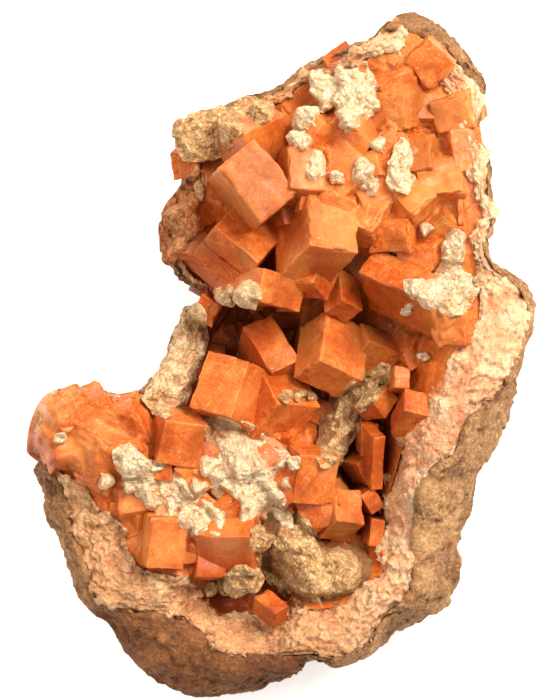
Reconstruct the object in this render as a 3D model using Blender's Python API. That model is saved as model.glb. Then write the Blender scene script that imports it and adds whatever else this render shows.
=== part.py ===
"""Chabazite specimen: orange rhombs and a cream late mineral on a piece of basalt.

The specimen lies on its back. X runs across it, Y along its length and +Z out of the
crystal-lined face. The origin is under the middle of its box, on the surface it rests on.
Tables are in millimetres; make_object scales them to metres.
"""

import math

import bmesh
import bpy
import numpy as np
from mathutils import Matrix, Vector, noise

MM = 0.001
GAP = 0.35  # clear space between two minerals that touch, mm

# Driving dimensions, mm
LAYER = 3.2  # thickness of the zeolite layer on the rock
RIM_LIFT = 0.4  # the pale rim stands this far above the ground surface
LAYER_CUT = 5.0  # how deep the rim's block reaches before the rock is cut away
FLOOR_BASE = 4.0  # height of the floor's block before the rock is cut away
UNDER_CURVE = 8.0  # how far in from the outline the back curves under
SPOT_REACH = 3.6  # how far a spot height is felt
STEP_IN = 0.3  # how far the wall of the recess leans in
RIM_CLEAR = 0.15  # how far inside the rock's crest the rim's block starts
FLOOR_UNDER = 0.4  # how far the floor's block starts under the rim
CREAM_FOOT = 1.0  # how far a cream patch's edge reaches under the ground
CREAM_BASE = 1.5  # how far its middle reaches under the lowest ground at its edge
CREAM_BUMP = 0.9  # height of its bumps
CREAM_PITCH = 2.2  # how far apart they are

# The specimen's middle line runs from one y to the other, at x = MIDDLE_X + MIDDLE_SLOPE * y.
MIDDLE_ENDS = (-20.0, 24.0)
MIDDLE_X = 2.0
MIDDLE_SLOPE = 0.25

# Lesser rhombs: lean in degrees, shortest and longest edge to the listed one, and how many
# edges the middle lies under the listed top
LEAN = (12.0, 38.0)
STRETCH = (0.85, 1.2)
MIDDLE_DEPTH = 0.55
SEED = 7

# How finely the bodies are drawn
ROUND = 72  # points round the outline
CURVE_STEPS = 12  # points between two rows of a smooth curve
MIDDLE_STOPS = 6  # points on the middle line
LUMP_ROUND = 16  # points round a cream patch

# Where their rings lie: shares of the way in, or degrees round a curved edge
BACK_SHARES = (0.6, 0.4, 0.2)
UNDER_TURNS = (90, 60, 35, 12)
CREST_TURNS = (0, 25, 50, 90)
BED_SHARES = (0.0, 0.25, 0.5, 0.75)
FLOOR_SHARES = (0.0, 0.12, 0.27, 0.44, 0.62, 0.8)

# A cream patch's rings: share of its outline, and height over its crown
CREAM_RINGS = ((1.0, -3.0), (1.0, -1.6), (0.9, -0.5), (0.62, 0.0), (0.3, 0.2))

FAR_WEIGHT = 1e-9  # keeps a ground height where no spot is near
SAME_POINT = 1e-6  # points closer than this are one, in metres

# Colour and roughness of each mineral
BASALT_LOOK = ((0.27, 0.16, 0.10), 0.9)
RIM_LOOK = ((0.80, 0.52, 0.36), 0.75)
CHABAZITE_LOOK = ((0.75, 0.25, 0.07), 0.35)
CREAM_LOOK = ((0.86, 0.70, 0.47), 0.85)

# The rock's outline seen from above, clockwise from the top knob. Each row holds the
# point, the width of bare rock inside it, the distance in to the inner edge of the
# pale rim, the height at which the side is widest, and the y on the middle line that
# distances are measured towards.
OUTLINE = [
    (15.4, 49.3, 1.0, 5.0, 14.0, 24.0),
    (18.0, 50.8, 2.0, 6.0, 14.0, 24.0),
    (22.0, 50.4, 2.6, 7.0, 14.0, 24.0),
    (25.8, 47.9, 2.2, 6.5, 14.0, 24.0),
    (29.0, 44.2, 2.0, 6.0, 14.0, 24.0),
    (31.0, 40.8, 1.0, 6.0, 14.0, 24.0),
    (30.3, 36.5, 0.8, 5.5, 14.0, 24.0),
    (30.1, 33.5, 0.8, 5.0, 14.0, 24.0),
    (31.5, 29.5, 0.8, 4.5, 13.0, 23.5),
    (31.9, 24.5, 0.8, 2.6, 13.0, 19.5),
    (32.4, 20.8, 0.8, 2.6, 13.0, 16.5),
    (31.3, 17.0, 0.8, 2.6, 13.0, 13.5),
    (32.2, 13.9, 0.8, 3.2, 13.0, 11.0),
    (35.4, 11.8, 1.2, 6.0, 13.0, 9.5),
    (37.6, 9.2, 1.4, 8.0, 13.0, 7.5),
    (38.1, 5.5, 1.4, 9.0, 13.0, 4.5),
    (36.8, 0.6, 1.4, 11.0, 12.0, 0.5),
    (35.5, -3.6, 2.0, 12.0, 12.0, -3.0),
    (33.6, -9.5, 5.0, 13.0, 11.0, -7.5),
    (31.0, -14.4, 4.5, 13.0, 11.0, -11.5),
    (28.9, -18.4, 6.5, 12.0, 11.0, -14.5),
    (28.0, -23.5, 7.5, 12.5, 11.0, -19.0),
    (26.8, -28.2, 6.5, 12.0, 10.0, -20.0),
    (26.9, -32.0, 7.0, 13.0, 10.0, -20.0),
    (25.4, -37.0, 6.0, 12.0, 10.0, -20.0),
    (22.0, -39.5, 4.5, 10.0, 10.0, -20.0),
    (17.0, -41.2, 2.5, 8.0, 9.0, -20.0),
    (14.2, -44.2, 2.0, 9.0, 9.0, -20.0),
    (9.0, -46.6, 1.6, 10.0, 9.0, -20.0),
    (4.6, -46.0, 1.2, 9.5, 9.0, -20.0),
    (1.5, -48.4, 3.5, 11.0, 9.0, -20.0),
    (-4.2, -49.8, 4.5, 11.0, 9.0, -20.0),
    (-9.5, -50.5, 5.5, 12.0, 9.0, -20.0),
    (-13.5, -50.6, 8.0, 13.0, 9.0, -20.0),
    (-18.5, -48.2, 9.0, 14.0, 9.0, -20.0),
    (-22.3, -44.6, 7.5, 14.0, 9.0, -20.0),
    (-25.3, -39.9, 3.0, 11.0, 9.0, -20.0),
    (-29.2, -37.3, 2.0, 10.0, 9.0, -20.0),
    (-31.2, -32.5, 2.0, 9.0, 9.0, -20.0),
    (-33.2, -27.2, 1.8, 9.0, 9.0, -19.6),
    (-35.6, -23.2, 3.5, 8.0, 9.0, -19.2),
    (-36.9, -19.2, 4.0, 7.0, 9.0, -19.0),
    (-37.7, -15.4, 1.6, 3.6, 11.0, -18.8),
    (-37.0, -9.8, 0.9, 2.6, 12.0, -18.4),
    (-34.6, -5.8, 0.9, 2.6, 12.0, -18.0),
    (-30.4, -4.8, 0.9, 2.6, 12.0, -17.4),
    (-26.0, -5.6, 1.0, 2.8, 11.0, -16.4),
    (-21.8, -5.2, 1.2, 3.0, 11.0, -14.0),
    (-18.2, -2.2, 1.5, 3.2, 11.0, -9.6),
    (-16.1, 2.4, 1.5, 3.2, 10.0, -2.5),
    (-14.6, 6.4, 1.2, 2.8, 10.0, 2.5),
    (-12.3, 8.4, 1.0, 2.6, 10.0, 5.5),
    (-11.6, 9.8, 1.0, 2.6, 10.0, 8.0),
    (-13.4, 11.0, 1.0, 2.6, 10.0, 10.2),
    (-16.5, 12.6, 1.2, 2.8, 10.0, 12.5),
    (-17.4, 17.0, 1.2, 3.0, 10.0, 14.8),
    (-16.6, 22.0, 1.2, 3.0, 10.0, 17.5),
    (-14.6, 26.0, 1.2, 3.0, 10.0, 20.0),
    (-14.8, 30.5, 1.2, 3.0, 10.0, 22.0),
    (-14.6, 34.6, 1.2, 3.0, 11.0, 24.0),
    (-11.0, 36.8, 1.2, 3.0, 11.0, 24.0),
    (-6.0, 38.8, 1.2, 3.0, 12.0, 24.0),
    (-1.0, 40.8, 1.0, 3.0, 12.0, 24.0),
    (4.0, 44.0, 1.0, 3.2, 13.0, 24.0),
    (9.5, 46.6, 1.2, 4.0, 13.0, 24.0),
    (13.4, 47.8, 1.2, 4.5, 14.0, 24.0),
]

# Spot heights of the ground that the crystals grow from: x, y, z.
GROUND = [
    (16, 46, 27), (26, 43, 25), (24, 33, 23), (29, 33, 26), (29, 25, 28), (12, 41, 26),
    (4, 39, 23), (-6, 35, 22), (-13, 31, 18), (-14, 20, 17), (-7, 25, 24), (5, 25, 30),
    (16, 24, 30), (25, 17, 29), (15, 14, 23), (4, 11, 20), (-8, 13, 17), (34, 8, 25),
    (14, 34, 29), (21, 25, 29), (21, 32, 21), (24, 42, 22), (3, 41, 20), (8, 32, 27),
    (30, 0, 27), (24, -4, 27), (23, -12, 26), (20, -20, 24), (18, -30, 22),
    (15, -38, 21), (4, -42, 20), (-8, -44, 18), (-20, -37, 18), (-28, -30, 17),
    (-30, -22, 15.5), (-34, -19, 15), (-35, -11, 20.5), (-31, -7, 21.5), (-31, -12, 23),
    (-26, -10, 23), (-27, -16, 23.5), (-24, -20, 21), (-18, -14, 23),
    (-12, -20, 23), (-6, -18, 22), (2, -14, 20), (-8, -28, 22), (-16, -28, 22),
    (2, -30, 16), (8, -32, 17), (6, -23, 18), (12, -24, 9), (12, -17, 8), (12, -10, 10),
    (16, -4, 15), (0, 2, 10), (-6, 4, 8), (-10, 4, 10), (-14, 0, 15), (-17, -5, 18),
    (0, -5, 14), (8, 2, 15), (17, 2, 18), (-3, -35, 9), (-7, -38, 12),
]

# Rhombs measured one by one. Each row holds the corner nearest the eye (x, y, z), the far
# ends of its three edges as seen from above, and the true length of the third edge
# (0 keeps the length seen).
LARGE_RHOMBS = [
    ((-9.2, 27.8, 34.0), (-2.7, 19.7), (-3.6, 32.3), (-12.3, 25.2), 0.0),
    ((4.4, 16.6, 35.5), (4.1, 25.6), (-0.7, 11.4), (12.0, 15.2), 8.0),
    ((-5.2, 33.0, 31.0), (0.6, 36.2), (-4.2, 27.0), (-6.4, 33.6), 7.0),
    ((1.4, 24.8, 34.0), (1.0, 31.2), (6.8, 24.6), (0.6, 23.8), 7.0),
    ((-3.2, 13.9, 27.5), (-9.8, 19.4), (-4.9, 11.6), (-1.1, 16.2), 8.0),
    ((-6.0, 12.4, 24.0), (-11.6, 17.2), (-7.6, 10.4), (-3.9, 14.6), 8.0),
    ((-8.8, 12.2, 20.4), (-13.6, 16.4), (-10.2, 10.2), (-6.6, 14.4), 8.0),
    ((-3.4, 8.3, 29.0), (3.0, 6.6), (-10.2, 9.6), (-2.7, 11.2), 5.0),
    ((4.7, 11.0, 28.0), (7.0, 8.4), (-0.9, 11.4), (5.9, 13.4), 6.0),
    ((9.2, 8.6, 25.0), (12.5, 7.0), (6.6, 6.6), (9.0, 10.8), 6.0),
    ((6.0, -0.6, 26.0), (7.0, 7.2), (1.9, -3.2), (12.6, -3.6), 8.0),
    ((-1.4, -2.3, 21.0), (-5.7, 4.7), (3.1, -0.4), (-1.7, -3.5), 7.0),
    ((-7.4, -9.0, 26.0), (-13.7, -7.5), (-4.6, -0.4), (-4.8, -10.6), 9.0),
    ((-0.4, -6.8, 24.0), (6.2, -7.4), (-4.3, -12.4), (-1.0, -5.6), 7.0),
    ((3.0, -14.5, 23.5), (9.0, -15.0), (1.8, -21.9), (2.2, -13.8), 7.0),
    ((8.5, -24.5, 21.5), (7.9, -19.5), (12.8, -25.1), (4.9, -28.3), 6.5),
    ((13.4, 2.4, 21.5), (19.0, 0.2), (12.2, 5.4), (11.2, -0.2), 6.0),
    ((22.0, 7.8, 33.0), (11.6, 12.6), (24.0, 2.2), (24.8, 11.6), 0.0),
    ((17.0, -4.6, 22.0), (19.4, -4.8), (17.2, -1.2), (16.2, -5.2), 6.0),
    ((14.2, -7.2, 20.0), (16.2, -4.2), (16.0, -9.4), (13.0, -7.3), 5.0),
    ((18.3, -8.0, 26.0), (18.6, -4.6), (16.5, -12.2), (21.5, -8.6), 6.0),
    ((12.2, -10.1, 17.0), (15.0, -10.2), (12.1, -14.9), (11.9, -9.8), 6.0),
    ((11.5, -16.0, 16.5), (13.7, -14.6), (13.1, -19.4), (10.7, -15.9), 5.0),
    ((14.0, -12.0, 21.0), (15.8, -11.8), (13.7, -20.2), (13.2, -11.1), 6.0),
    ((12.1, -21.0, 17.5), (14.1, -19.6), (13.9, -23.9), (11.2, -20.9), 6.0),
    ((13.8, -24.3, 18.0), (16.0, -24.6), (13.3, -28.5), (13.1, -23.9), 6.0),
    ((-17.0, -9.4, 26.2), (-10.6, -10.4), (-18.4, -15.8), (-18.6, -7.2), 8.0),
    ((-19.2, -24.0, 25.0), (-13.8, -24.2), (-19.8, -31.6), (-20.0, -23.4), 7.0),
    ((-4.6, -26.8, 25.5), (-13.2, -26.6), (-3.6, -33.2), (-4.0, -24.6), 8.0),
    ((-0.9, -38.4, 21.0), (1.4, -37.2), (-1.2, -41.0), (-2.3, -37.3), 4.5),
]

# Lesser rhombs, whose turn and lean are seeded: x, y, height of the top, edge.
LESSER_RHOMBS = [
    (10.5, 33.4, 30.2, 7.2), (17.3, 36.9, 29.2, 5.8), (22.2, 37.2, 24.6, 5.6),
    (22.2, 44.4, 27.4, 5.8), (23.8, 25.6, 28.8, 5.8), (28.2, 22.6, 28.0, 5.0),
    (24.2, 19.6, 28.2, 5.2), (17.0, 18.6, 29.2, 5.8), (20.6, 15.2, 28.6, 5.2),
    (16.8, 40.6, 27.4, 5.2), (10.4, 43.4, 25.2, 5.4), (5.4, 32.6, 30.6, 5.6),
    (9.6, 27.2, 30.6, 6.4), (14.2, 26.2, 30.2, 6.8), (18.0, 46.0, 27.2, 5.8),
    (26.6, 37.0, 26.4, 5.8), (27.6, 30.6, 27.0, 5.4), (12.8, 20.4, 29.8, 5.8),
    (19.4, 22.8, 29.6, 5.6), (26.4, 16.6, 28.0, 5.2), (21.0, 29.6, 27.8, 5.0),
    (-13.4, 16.4, 20.6, 4.6), (-13.6, 20.8, 20.8, 4.8), (-13.6, 29.6, 21.2, 4.4),
    (-10.8, 7.6, 18.6, 4.0), (26.2, 4.4, 28.6, 4.8), (-32.0, -8.4, 23.8, 6.8),
    (-28.2, -8.4, 24.0, 6.0), (-23.4, -9.8, 24.2, 6.2), (-32.4, -13.0, 23.4, 5.8),
    (-27.6, -13.8, 25.0, 6.6), (-22.4, -14.6, 24.0, 5.8), (-21.6, -21.6, 22.6, 4.6),
    (-27.4, -17.6, 22.6, 4.4), (-7.2, -22.8, 22.8, 4.4), (-12.6, -17.6, 23.2, 5.0),
    (1.4, -18.6, 22.4, 5.0), (-4.8, -16.0, 22.4, 4.6), (6.8, -22.4, 19.6, 5.6),
    (7.2, 23.6, 31.0, 5.4), (16.4, 30.8, 29.0, 5.4), (12.2, 37.8, 27.4, 5.6),
]

# Cream patches: name, outline seen from above, height over the ground.
CREAM = [
    ("cream_crust_upper_left", 4.5, [
        (-15.4, 35.0), (-12.0, 36.6), (-8.0, 37.6), (-4.5, 38.6), (-2.8, 36.8),
        (-5.2, 34.2), (-7.0, 31.6), (-10.0, 29.8), (-13.8, 29.6), (-15.3, 32.0)]),
    ("cream_crust_left_edge", 4.0, [
        (-17.4, 22.2), (-14.8, 25.8), (-12.6, 28.6), (-12.2, 24.0), (-12.6, 18.6),
        (-16.8, 14.2), (-17.8, 18.0)]),
    ("cream_crust_top", 6.0, [
        (5.9, 41.8), (8.6, 42.0), (11.8, 43.4), (13.9, 38.6), (12.4, 36.2),
        (9.8, 33.6), (9.0, 36.8), (6.2, 38.6)]),
    ("cream_crust_middle_spots", 6.5, [
        (17.4, 31.0), (19.0, 31.0), (19.6, 27.4), (18.8, 25.2), (16.6, 25.8), (16.4, 28.0)]),
    ("cream_crust_right_rhomb", 6.5, [
        (19.2, 11.4), (22.4, 11.6), (24.6, 14.6), (24.6, 16.6), (26.2, 17.0), (28.2, 13.0),
        (28.6, 10.8), (26.8, 7.6), (24.6, 7.4), (21.6, 8.2)]),
    ("cream_crust_inner_left", 3.4, [
        (-14.6, 6.8), (-12.4, 7.4), (-11.2, 4.8), (-11.4, 1.5), (-12.6, -2.4),
        (-13.6, -5.0), (-15.2, -8.0), (-18.0, -8.4), (-20.0, -6.8), (-19.8, -4.4),
        (-17.8, -1.0), (-16.2, 2.8)]),
    ("cream_crust_lower_left", 5.2, [
        (-23.2, -16.2), (-21.6, -14.4), (-19.4, -16.0), (-16.4, -17.0), (-13.8, -19.2),
        (-10.2, -22.6), (-11.4, -25.4), (-14.6, -24.4), (-18.6, -22.4), (-21.2, -19.4)]),
    ("cream_crust_centre", 4.6, [
        (-9.8, -11.4), (-7.2, -11.0), (-4.3, -11.8), (-1.6, -13.6), (0.4, -16.0),
        (-1.4, -18.0), (0.5, -22.8), (-0.2, -24.4), (-5.2, -24.4), (-6.2, -21.4),
        (-9.0, -19.6), (-9.4, -15.0)]),
    ("cream_crust_pocket", 4.6, [
        (15.4, -2.9), (12.5, -3.2), (10.2, -5.0), (8.0, -6.6), (7.0, -10.0), (6.8, -14.0),
        (9.2, -14.6), (11.0, -11.6), (12.4, -8.4), (14.2, -6.4)]),
    ("cream_crust_bottom", 5.2, [
        (0.2, -25.2), (3.8, -25.4), (6.4, -29.2), (9.0, -28.8), (12.2, -31.4),
        (11.0, -35.0), (6.4, -36.0), (1.6, -35.0), (-1.6, -31.2), (-1.4, -27.4)]),
]


def closed_curve(rows, count):
    """A closed Catmull-Rom curve through the rows, as count rows evenly spaced along it."""
    rows = np.array(rows, float)
    fine = []
    for i in range(len(rows)):
        a, b, c, d = (rows[(i + k) % len(rows)] for k in (-1, 0, 1, 2))
        for t in np.linspace(0.0, 1.0, CURVE_STEPS, endpoint=False):
            fine.append(
                0.5 * (2 * b + (c - a) * t + (2 * a - 5 * b + 4 * c - d) * t**2
                       + (3 * b - a - 3 * c + d) * t**3)
            )
    fine = np.array(fine + fine[:1])
    step = np.linalg.norm(np.diff(fine[:, :2], axis=0), axis=1)
    along = np.concatenate([[0.0], np.cumsum(step)])
    wanted = np.linspace(0.0, along[-1], count, endpoint=False)
    return np.column_stack([np.interp(wanted, along, column) for column in fine.T])


def ground(points):
    """Height of the ground at each (x, y): the spot heights, weighted by nearness."""
    spots = np.array(GROUND, float)
    away = np.linalg.norm(points[:, None, :2] - spots[None, :, :2], axis=2)
    weight = np.exp(-((away / SPOT_REACH) ** 2) / 2) + FAR_WEIGHT / (1 + away**4)
    return (weight * spots[:, 2]).sum(1) / weight.sum(1)


def middle_line(y):
    """The specimen's middle line, as points at the given y."""
    return np.column_stack([MIDDLE_X + MIDDLE_SLOPE * y, y])


class Outline:
    """The outline curve and the rings that lie inside it."""

    def __init__(self):
        curve = closed_curve(OUTLINE, ROUND)
        self.edge, self.bare, self.pale, self.waist, along = curve[:, :2], *curve[:, 2:].T
        self.inward = middle_line(np.clip(along, *MIDDLE_ENDS)) - self.edge
        self.reach = np.linalg.norm(self.inward, axis=1)
        self.inward /= self.reach[:, None]
        stops = np.linspace(*MIDDLE_ENDS, MIDDLE_STOPS)
        self.middle = middle_line(stops)
        self.nearest = np.abs(along[:, None] - stops).argmin(1)

    def ring(self, inside, height):
        """A ring at a distance inside the outline, at a height over zero."""
        flat = self.edge + self.inward * np.broadcast_to(inside, self.reach.shape)[:, None]
        return np.column_stack([flat, np.broadcast_to(height, self.reach.shape)])

    def ground_ring(self, inside, lift, shift=0.0):
        """A ring at a distance inside the outline, lifted over the ground.

        A shift moves it inwards without a change of height, for a grown copy.
        """
        height = ground(self.ring(inside, 0.0)) + lift
        return self.ring(inside + shift, height)

    def middle_at(self, height):
        """The middle line at a height over zero."""
        return np.column_stack([self.middle, np.full(len(self.middle), height)])

    def middle_on_ground(self, lift):
        """The middle line lifted over the ground."""
        return np.column_stack([self.middle, ground(self.middle) + lift])


def add_rings(mesh, rings, ends=None, nearest=None):
    """Joins rings of equal length by triangles, always split the same way.

    Without ends the last ring joins the first, as in a hoop. With ends, the first and
    last rings close on two short lines: each side of a ring is a triangle with its
    nearest point of the line, and one more triangle fills in where that point changes.
    """
    loops = [[mesh.verts.new(p) for p in ring] for ring in rings]
    pairs = list(zip(loops, loops[1:]))
    if ends is None:
        pairs.append((loops[-1], loops[0]))
    for low, high in pairs:
        for i in range(len(low)):
            j = (i + 1) % len(low)
            mesh.faces.new((low[i], low[j], high[j]))
            mesh.faces.new((low[i], high[j], high[i]))
    for loop, line in zip((loops[0], loops[-1]), ends or ()):
        stops = [mesh.verts.new(p) for p in line]
        for i in range(len(loop)):
            j = (i + 1) % len(loop)
            here, there = stops[nearest[i]], stops[nearest[j]]
            mesh.faces.new((loop[i], loop[j], here))
            if here is not there:
                mesh.faces.new((loop[j], there, here))
    bmesh.ops.recalc_face_normals(mesh, faces=mesh.faces[:])


def make_object(name, mesh):
    """An object in metres from a bmesh in millimetres."""
    bmesh.ops.scale(mesh, vec=(MM, MM, MM), verts=mesh.verts)
    data = bpy.data.meshes.new(name)
    mesh.to_mesh(data)
    mesh.free()
    made = bpy.data.objects.new(name, data)
    bpy.context.scene.collection.objects.link(made)
    return made


def rock(name, outline, grow=0.0):
    """The basalt: a rounded back, a curved side, and a shallow recess for the zeolite."""
    rings = []
    for share in BACK_SHARES:
        rings.append(outline.ring(UNDER_CURVE + share * (outline.reach - UNDER_CURVE), -grow))
    for turn in UNDER_TURNS:
        curl = math.radians(turn)
        inside = UNDER_CURVE * (1 - math.cos(curl)) - grow * math.cos(curl)
        rings.append(outline.ring(inside, outline.waist * (1 - math.sin(curl)) - grow))
    crest = outline.ground_ring(outline.bare, 0.0)[:, 2]
    for turn in CREST_TURNS:
        curl = math.radians(turn)
        inside = outline.bare * (1 - math.cos(curl)) - grow * math.cos(curl)
        height = outline.waist + (crest - outline.waist) * math.sin(curl)
        rings.append(outline.ring(inside, height + grow * math.sin(curl)))
    lip = outline.bare + grow
    rings.append(outline.ring(lip + STEP_IN / 3, crest + grow))
    rings.append(outline.ground_ring(lip + STEP_IN, grow - LAYER))
    rings.append(outline.ground_ring(0.5 * (outline.bare + outline.pale) + STEP_IN, grow - LAYER))
    for share in BED_SHARES:
        inside = outline.pale + share * (outline.reach - outline.pale)
        rings.append(outline.ground_ring(inside + STEP_IN, grow - LAYER))
    ends = (outline.middle_at(-grow), outline.middle_on_ground(grow - LAYER))
    mesh = bmesh.new()
    add_rings(mesh, rings, ends, outline.nearest)
    return make_object(name, mesh)


def rim(name, outline, grow=0.0):
    """The pale broken edge of the zeolite layer, a band round the specimen."""
    outer = outline.bare + RIM_CLEAR
    inner = outline.pale
    rings = [
        outline.ground_ring(outer, -LAYER_CUT, -grow),
        outline.ground_ring(outer, 0.5 * RIM_LIFT + grow, -grow),
        outline.ground_ring(0.5 * (outer + inner), RIM_LIFT + grow),
        outline.ground_ring(inner, RIM_LIFT + grow, grow),
        outline.ground_ring(inner, -LAYER_CUT, grow),
    ]
    mesh = bmesh.new()
    add_rings(mesh, rings)
    return make_object(name, mesh)


def crust(name, outline, grow=0.0):
    """The floor of the hollow, which the rhombs stand on."""
    edge = outline.pale - FLOOR_UNDER
    rings = [outline.ring(edge, FLOOR_BASE)]
    for share in FLOOR_SHARES:
        rings.append(outline.ground_ring(edge + share * (outline.reach - edge), grow))
    ends = (outline.middle_at(FLOOR_BASE), outline.middle_on_ground(grow))
    mesh = bmesh.new()
    add_rings(mesh, rings, ends, outline.nearest)
    return make_object(name, mesh)


def corner_edges(seen):
    """Edges that look like the three seen from above and meet squarely.

    Chabazite corners are within a few degrees of square. For seen edges p, q, r the
    drops are sqrt((p.q)(p.r) / (q.r)) and so on round.
    """
    dots = np.array([seen[1] @ seen[2], seen[2] @ seen[0], seen[0] @ seen[1]])
    drop = np.sqrt(np.abs(dots[[1, 2, 0]] * dots[[2, 0, 1]] / dots))
    return np.column_stack([seen, -drop])


def large_rhombs():
    """Near corner and three edges of each rhomb that was measured."""
    rows = []
    for corner, first, second, third, depth in LARGE_RHOMBS:
        corner = np.array(corner, float)
        edges = corner_edges(np.array([first, second, third], float) - corner[:2])
        if depth:
            edges[2] *= depth / np.linalg.norm(edges[2])
        rows.append((corner, edges))
    return rows


def lesser_rhombs():
    """Near corner and three edges of each rhomb whose turn and lean are seeded."""
    chance = np.random.default_rng(SEED)
    rows = []
    for x, y, top, edge in LESSER_RHOMBS:
        turn, toward = chance.uniform(0.0, 2 * math.pi, 2)
        lean = math.radians(chance.uniform(*LEAN))
        spin = np.array(Matrix.Rotation(turn, 3, "Z"))
        tip = np.array(Matrix.Rotation(lean, 3, (math.cos(toward), math.sin(toward), 0.0)))
        edges = -edge * (tip @ spin).T * chance.uniform(*STRETCH, 3)[:, None]
        middle = np.array([x, y, top - MIDDLE_DEPTH * edge])
        rows.append((middle - edges.sum(0) / 2, edges))
    return rows


def rhomb(name, row, grow=0.0):
    """One crystal: a brick on the three edges from its near corner."""
    corner, edges = row
    length = np.linalg.norm(edges, axis=1)
    along = edges / length[:, None]
    corner = corner - along.sum(0) * grow
    edges = along * (length + 2 * grow)[:, None]
    mesh = bmesh.new()
    points = [
        mesh.verts.new(corner + i * edges[0] + j * edges[1] + k * edges[2])
        for i in (0, 1) for j in (0, 1) for k in (0, 1)
    ]
    for face in ((0, 1, 3, 2), (4, 6, 7, 5), (0, 4, 5, 1), (2, 3, 7, 6), (0, 2, 6, 4), (1, 5, 7, 3)):
        mesh.faces.new([points[i] for i in face])
    bmesh.ops.recalc_face_normals(mesh, faces=mesh.faces[:])
    return make_object(name, mesh)


def cream_lump(name, height, outline):
    """A lumpy patch of the cream mineral: rings that close in over its outline."""
    edge = closed_curve(outline, LUMP_ROUND)[:, :2]
    middle = edge.mean(0)
    rings = [np.column_stack([edge, ground(edge) - CREAM_FOOT])]
    for share, lift in CREAM_RINGS:
        flat = middle + (edge - middle) * share
        bumps = [noise.noise(Vector((x / CREAM_PITCH, y / CREAM_PITCH, height))) for x, y in flat]
        level = ground(flat) + height + lift + CREAM_BUMP * np.array(bumps)
        rings.append(np.column_stack([flat, level]))
    base = ground(edge).min() - CREAM_BASE
    top = rings[-1][:, 2].mean()
    ends = ([(*middle, base)], [(*middle, top)])
    mesh = bmesh.new()
    add_rings(mesh, rings, ends, [0] * LUMP_ROUND)
    return make_object(name, mesh)


def combine(target, operation, others):
    """Joins the others to the target, or cuts them from it, and keeps the result."""
    group = bpy.data.collections.new(target.name + "_" + operation)
    for other in others:
        group.objects.link(other)
    change = target.modifiers.new(operation, "BOOLEAN")
    change.operation = operation
    change.solver = "EXACT"
    change.operand_type = "COLLECTION"
    change.collection = group
    change.use_self = operation == "UNION"
    bpy.context.view_layer.update()
    graph = bpy.context.evaluated_depsgraph_get()
    result = bpy.data.meshes.new_from_object(target.evaluated_get(graph))
    target.modifiers.clear()
    target.data = result
    bpy.data.collections.remove(group)


def keep_largest(target):
    """Keeps the largest closed body of a mesh and drops crumbs that a cut left."""
    mesh = bmesh.new()
    mesh.from_mesh(target.data)
    bmesh.ops.remove_doubles(mesh, verts=mesh.verts, dist=SAME_POINT)
    left = set(mesh.faces)
    bodies = []
    while left:
        body, edge = set(), [left.pop()]
        while edge:
            face = edge.pop()
            body.add(face)
            for side in face.edges:
                for other in side.link_faces if side.is_manifold else ():
                    if other in left:
                        left.discard(other)
                        edge.append(other)
        bodies.append(body)
    bodies.sort(key=lambda body: sum(face.calc_area() for face in body))
    for body in bodies[:-1]:
        bmesh.ops.delete(mesh, geom=list(body), context="FACES")
    bmesh.ops.triangulate(mesh, faces=mesh.faces[:])
    mesh.to_mesh(target.data)
    mesh.free()


def finish(target, colour, roughness):
    """Gives an object its one material."""
    material = bpy.data.materials.new(target.name)
    material.use_nodes = True
    shader = material.node_tree.nodes["Principled BSDF"]
    shader.inputs["Base Color"].default_value = (*colour, 1.0)
    shader.inputs["Roughness"].default_value = roughness
    shader.inputs["Metallic"].default_value = 0.0
    target.data.materials.clear()
    target.data.materials.append(material)


def remove(objects):
    for used in objects:
        bpy.data.objects.remove(used)


def druse(name, outline, grow=0.0):
    """Floor and rhombs grown together as one body."""
    body = crust(name, outline, grow)
    rows = large_rhombs() + lesser_rhombs()
    crystals = [rhomb(f"rhomb_{i}", row, grow) for i, row in enumerate(rows)]
    combine(body, "UNION", crystals)
    remove(crystals)
    return body


def main():
    remove(list(bpy.data.objects))
    outline = Outline()
    basalt = rock("basalt_matrix", outline)
    rock_room = rock("rock_room", outline, GAP)
    edge = rim("pale_zeolite_rim", outline)
    combine(edge, "DIFFERENCE", [rock_room])
    keep_largest(edge)
    rim_room = rim("rim_room", outline, GAP)
    crystals = druse("chabazite_druse", outline)
    combine(crystals, "DIFFERENCE", [rock_room, rim_room])
    keep_largest(crystals)
    druse_room = druse("druse_room", outline, GAP)
    finish(basalt, *BASALT_LOOK)
    finish(edge, *RIM_LOOK)
    finish(crystals, *CHABAZITE_LOOK)
    for name, height, points in CREAM:
        patch = cream_lump(name, height, points)
        combine(patch, "DIFFERENCE", [druse_room])
        combine(patch, "DIFFERENCE", [rock_room, rim_room])
        keep_largest(patch)
        finish(patch, *CREAM_LOOK)
    remove([rock_room, rim_room, druse_room])


main()
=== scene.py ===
"""Looks of the chabazite specimen: rock, pale rim, orange rhombs and cream crusts.

Shapes are worked out in millimetres, in the frame of the CAD model, and scaled to
metres when a mesh is made.
"""

import math

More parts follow.
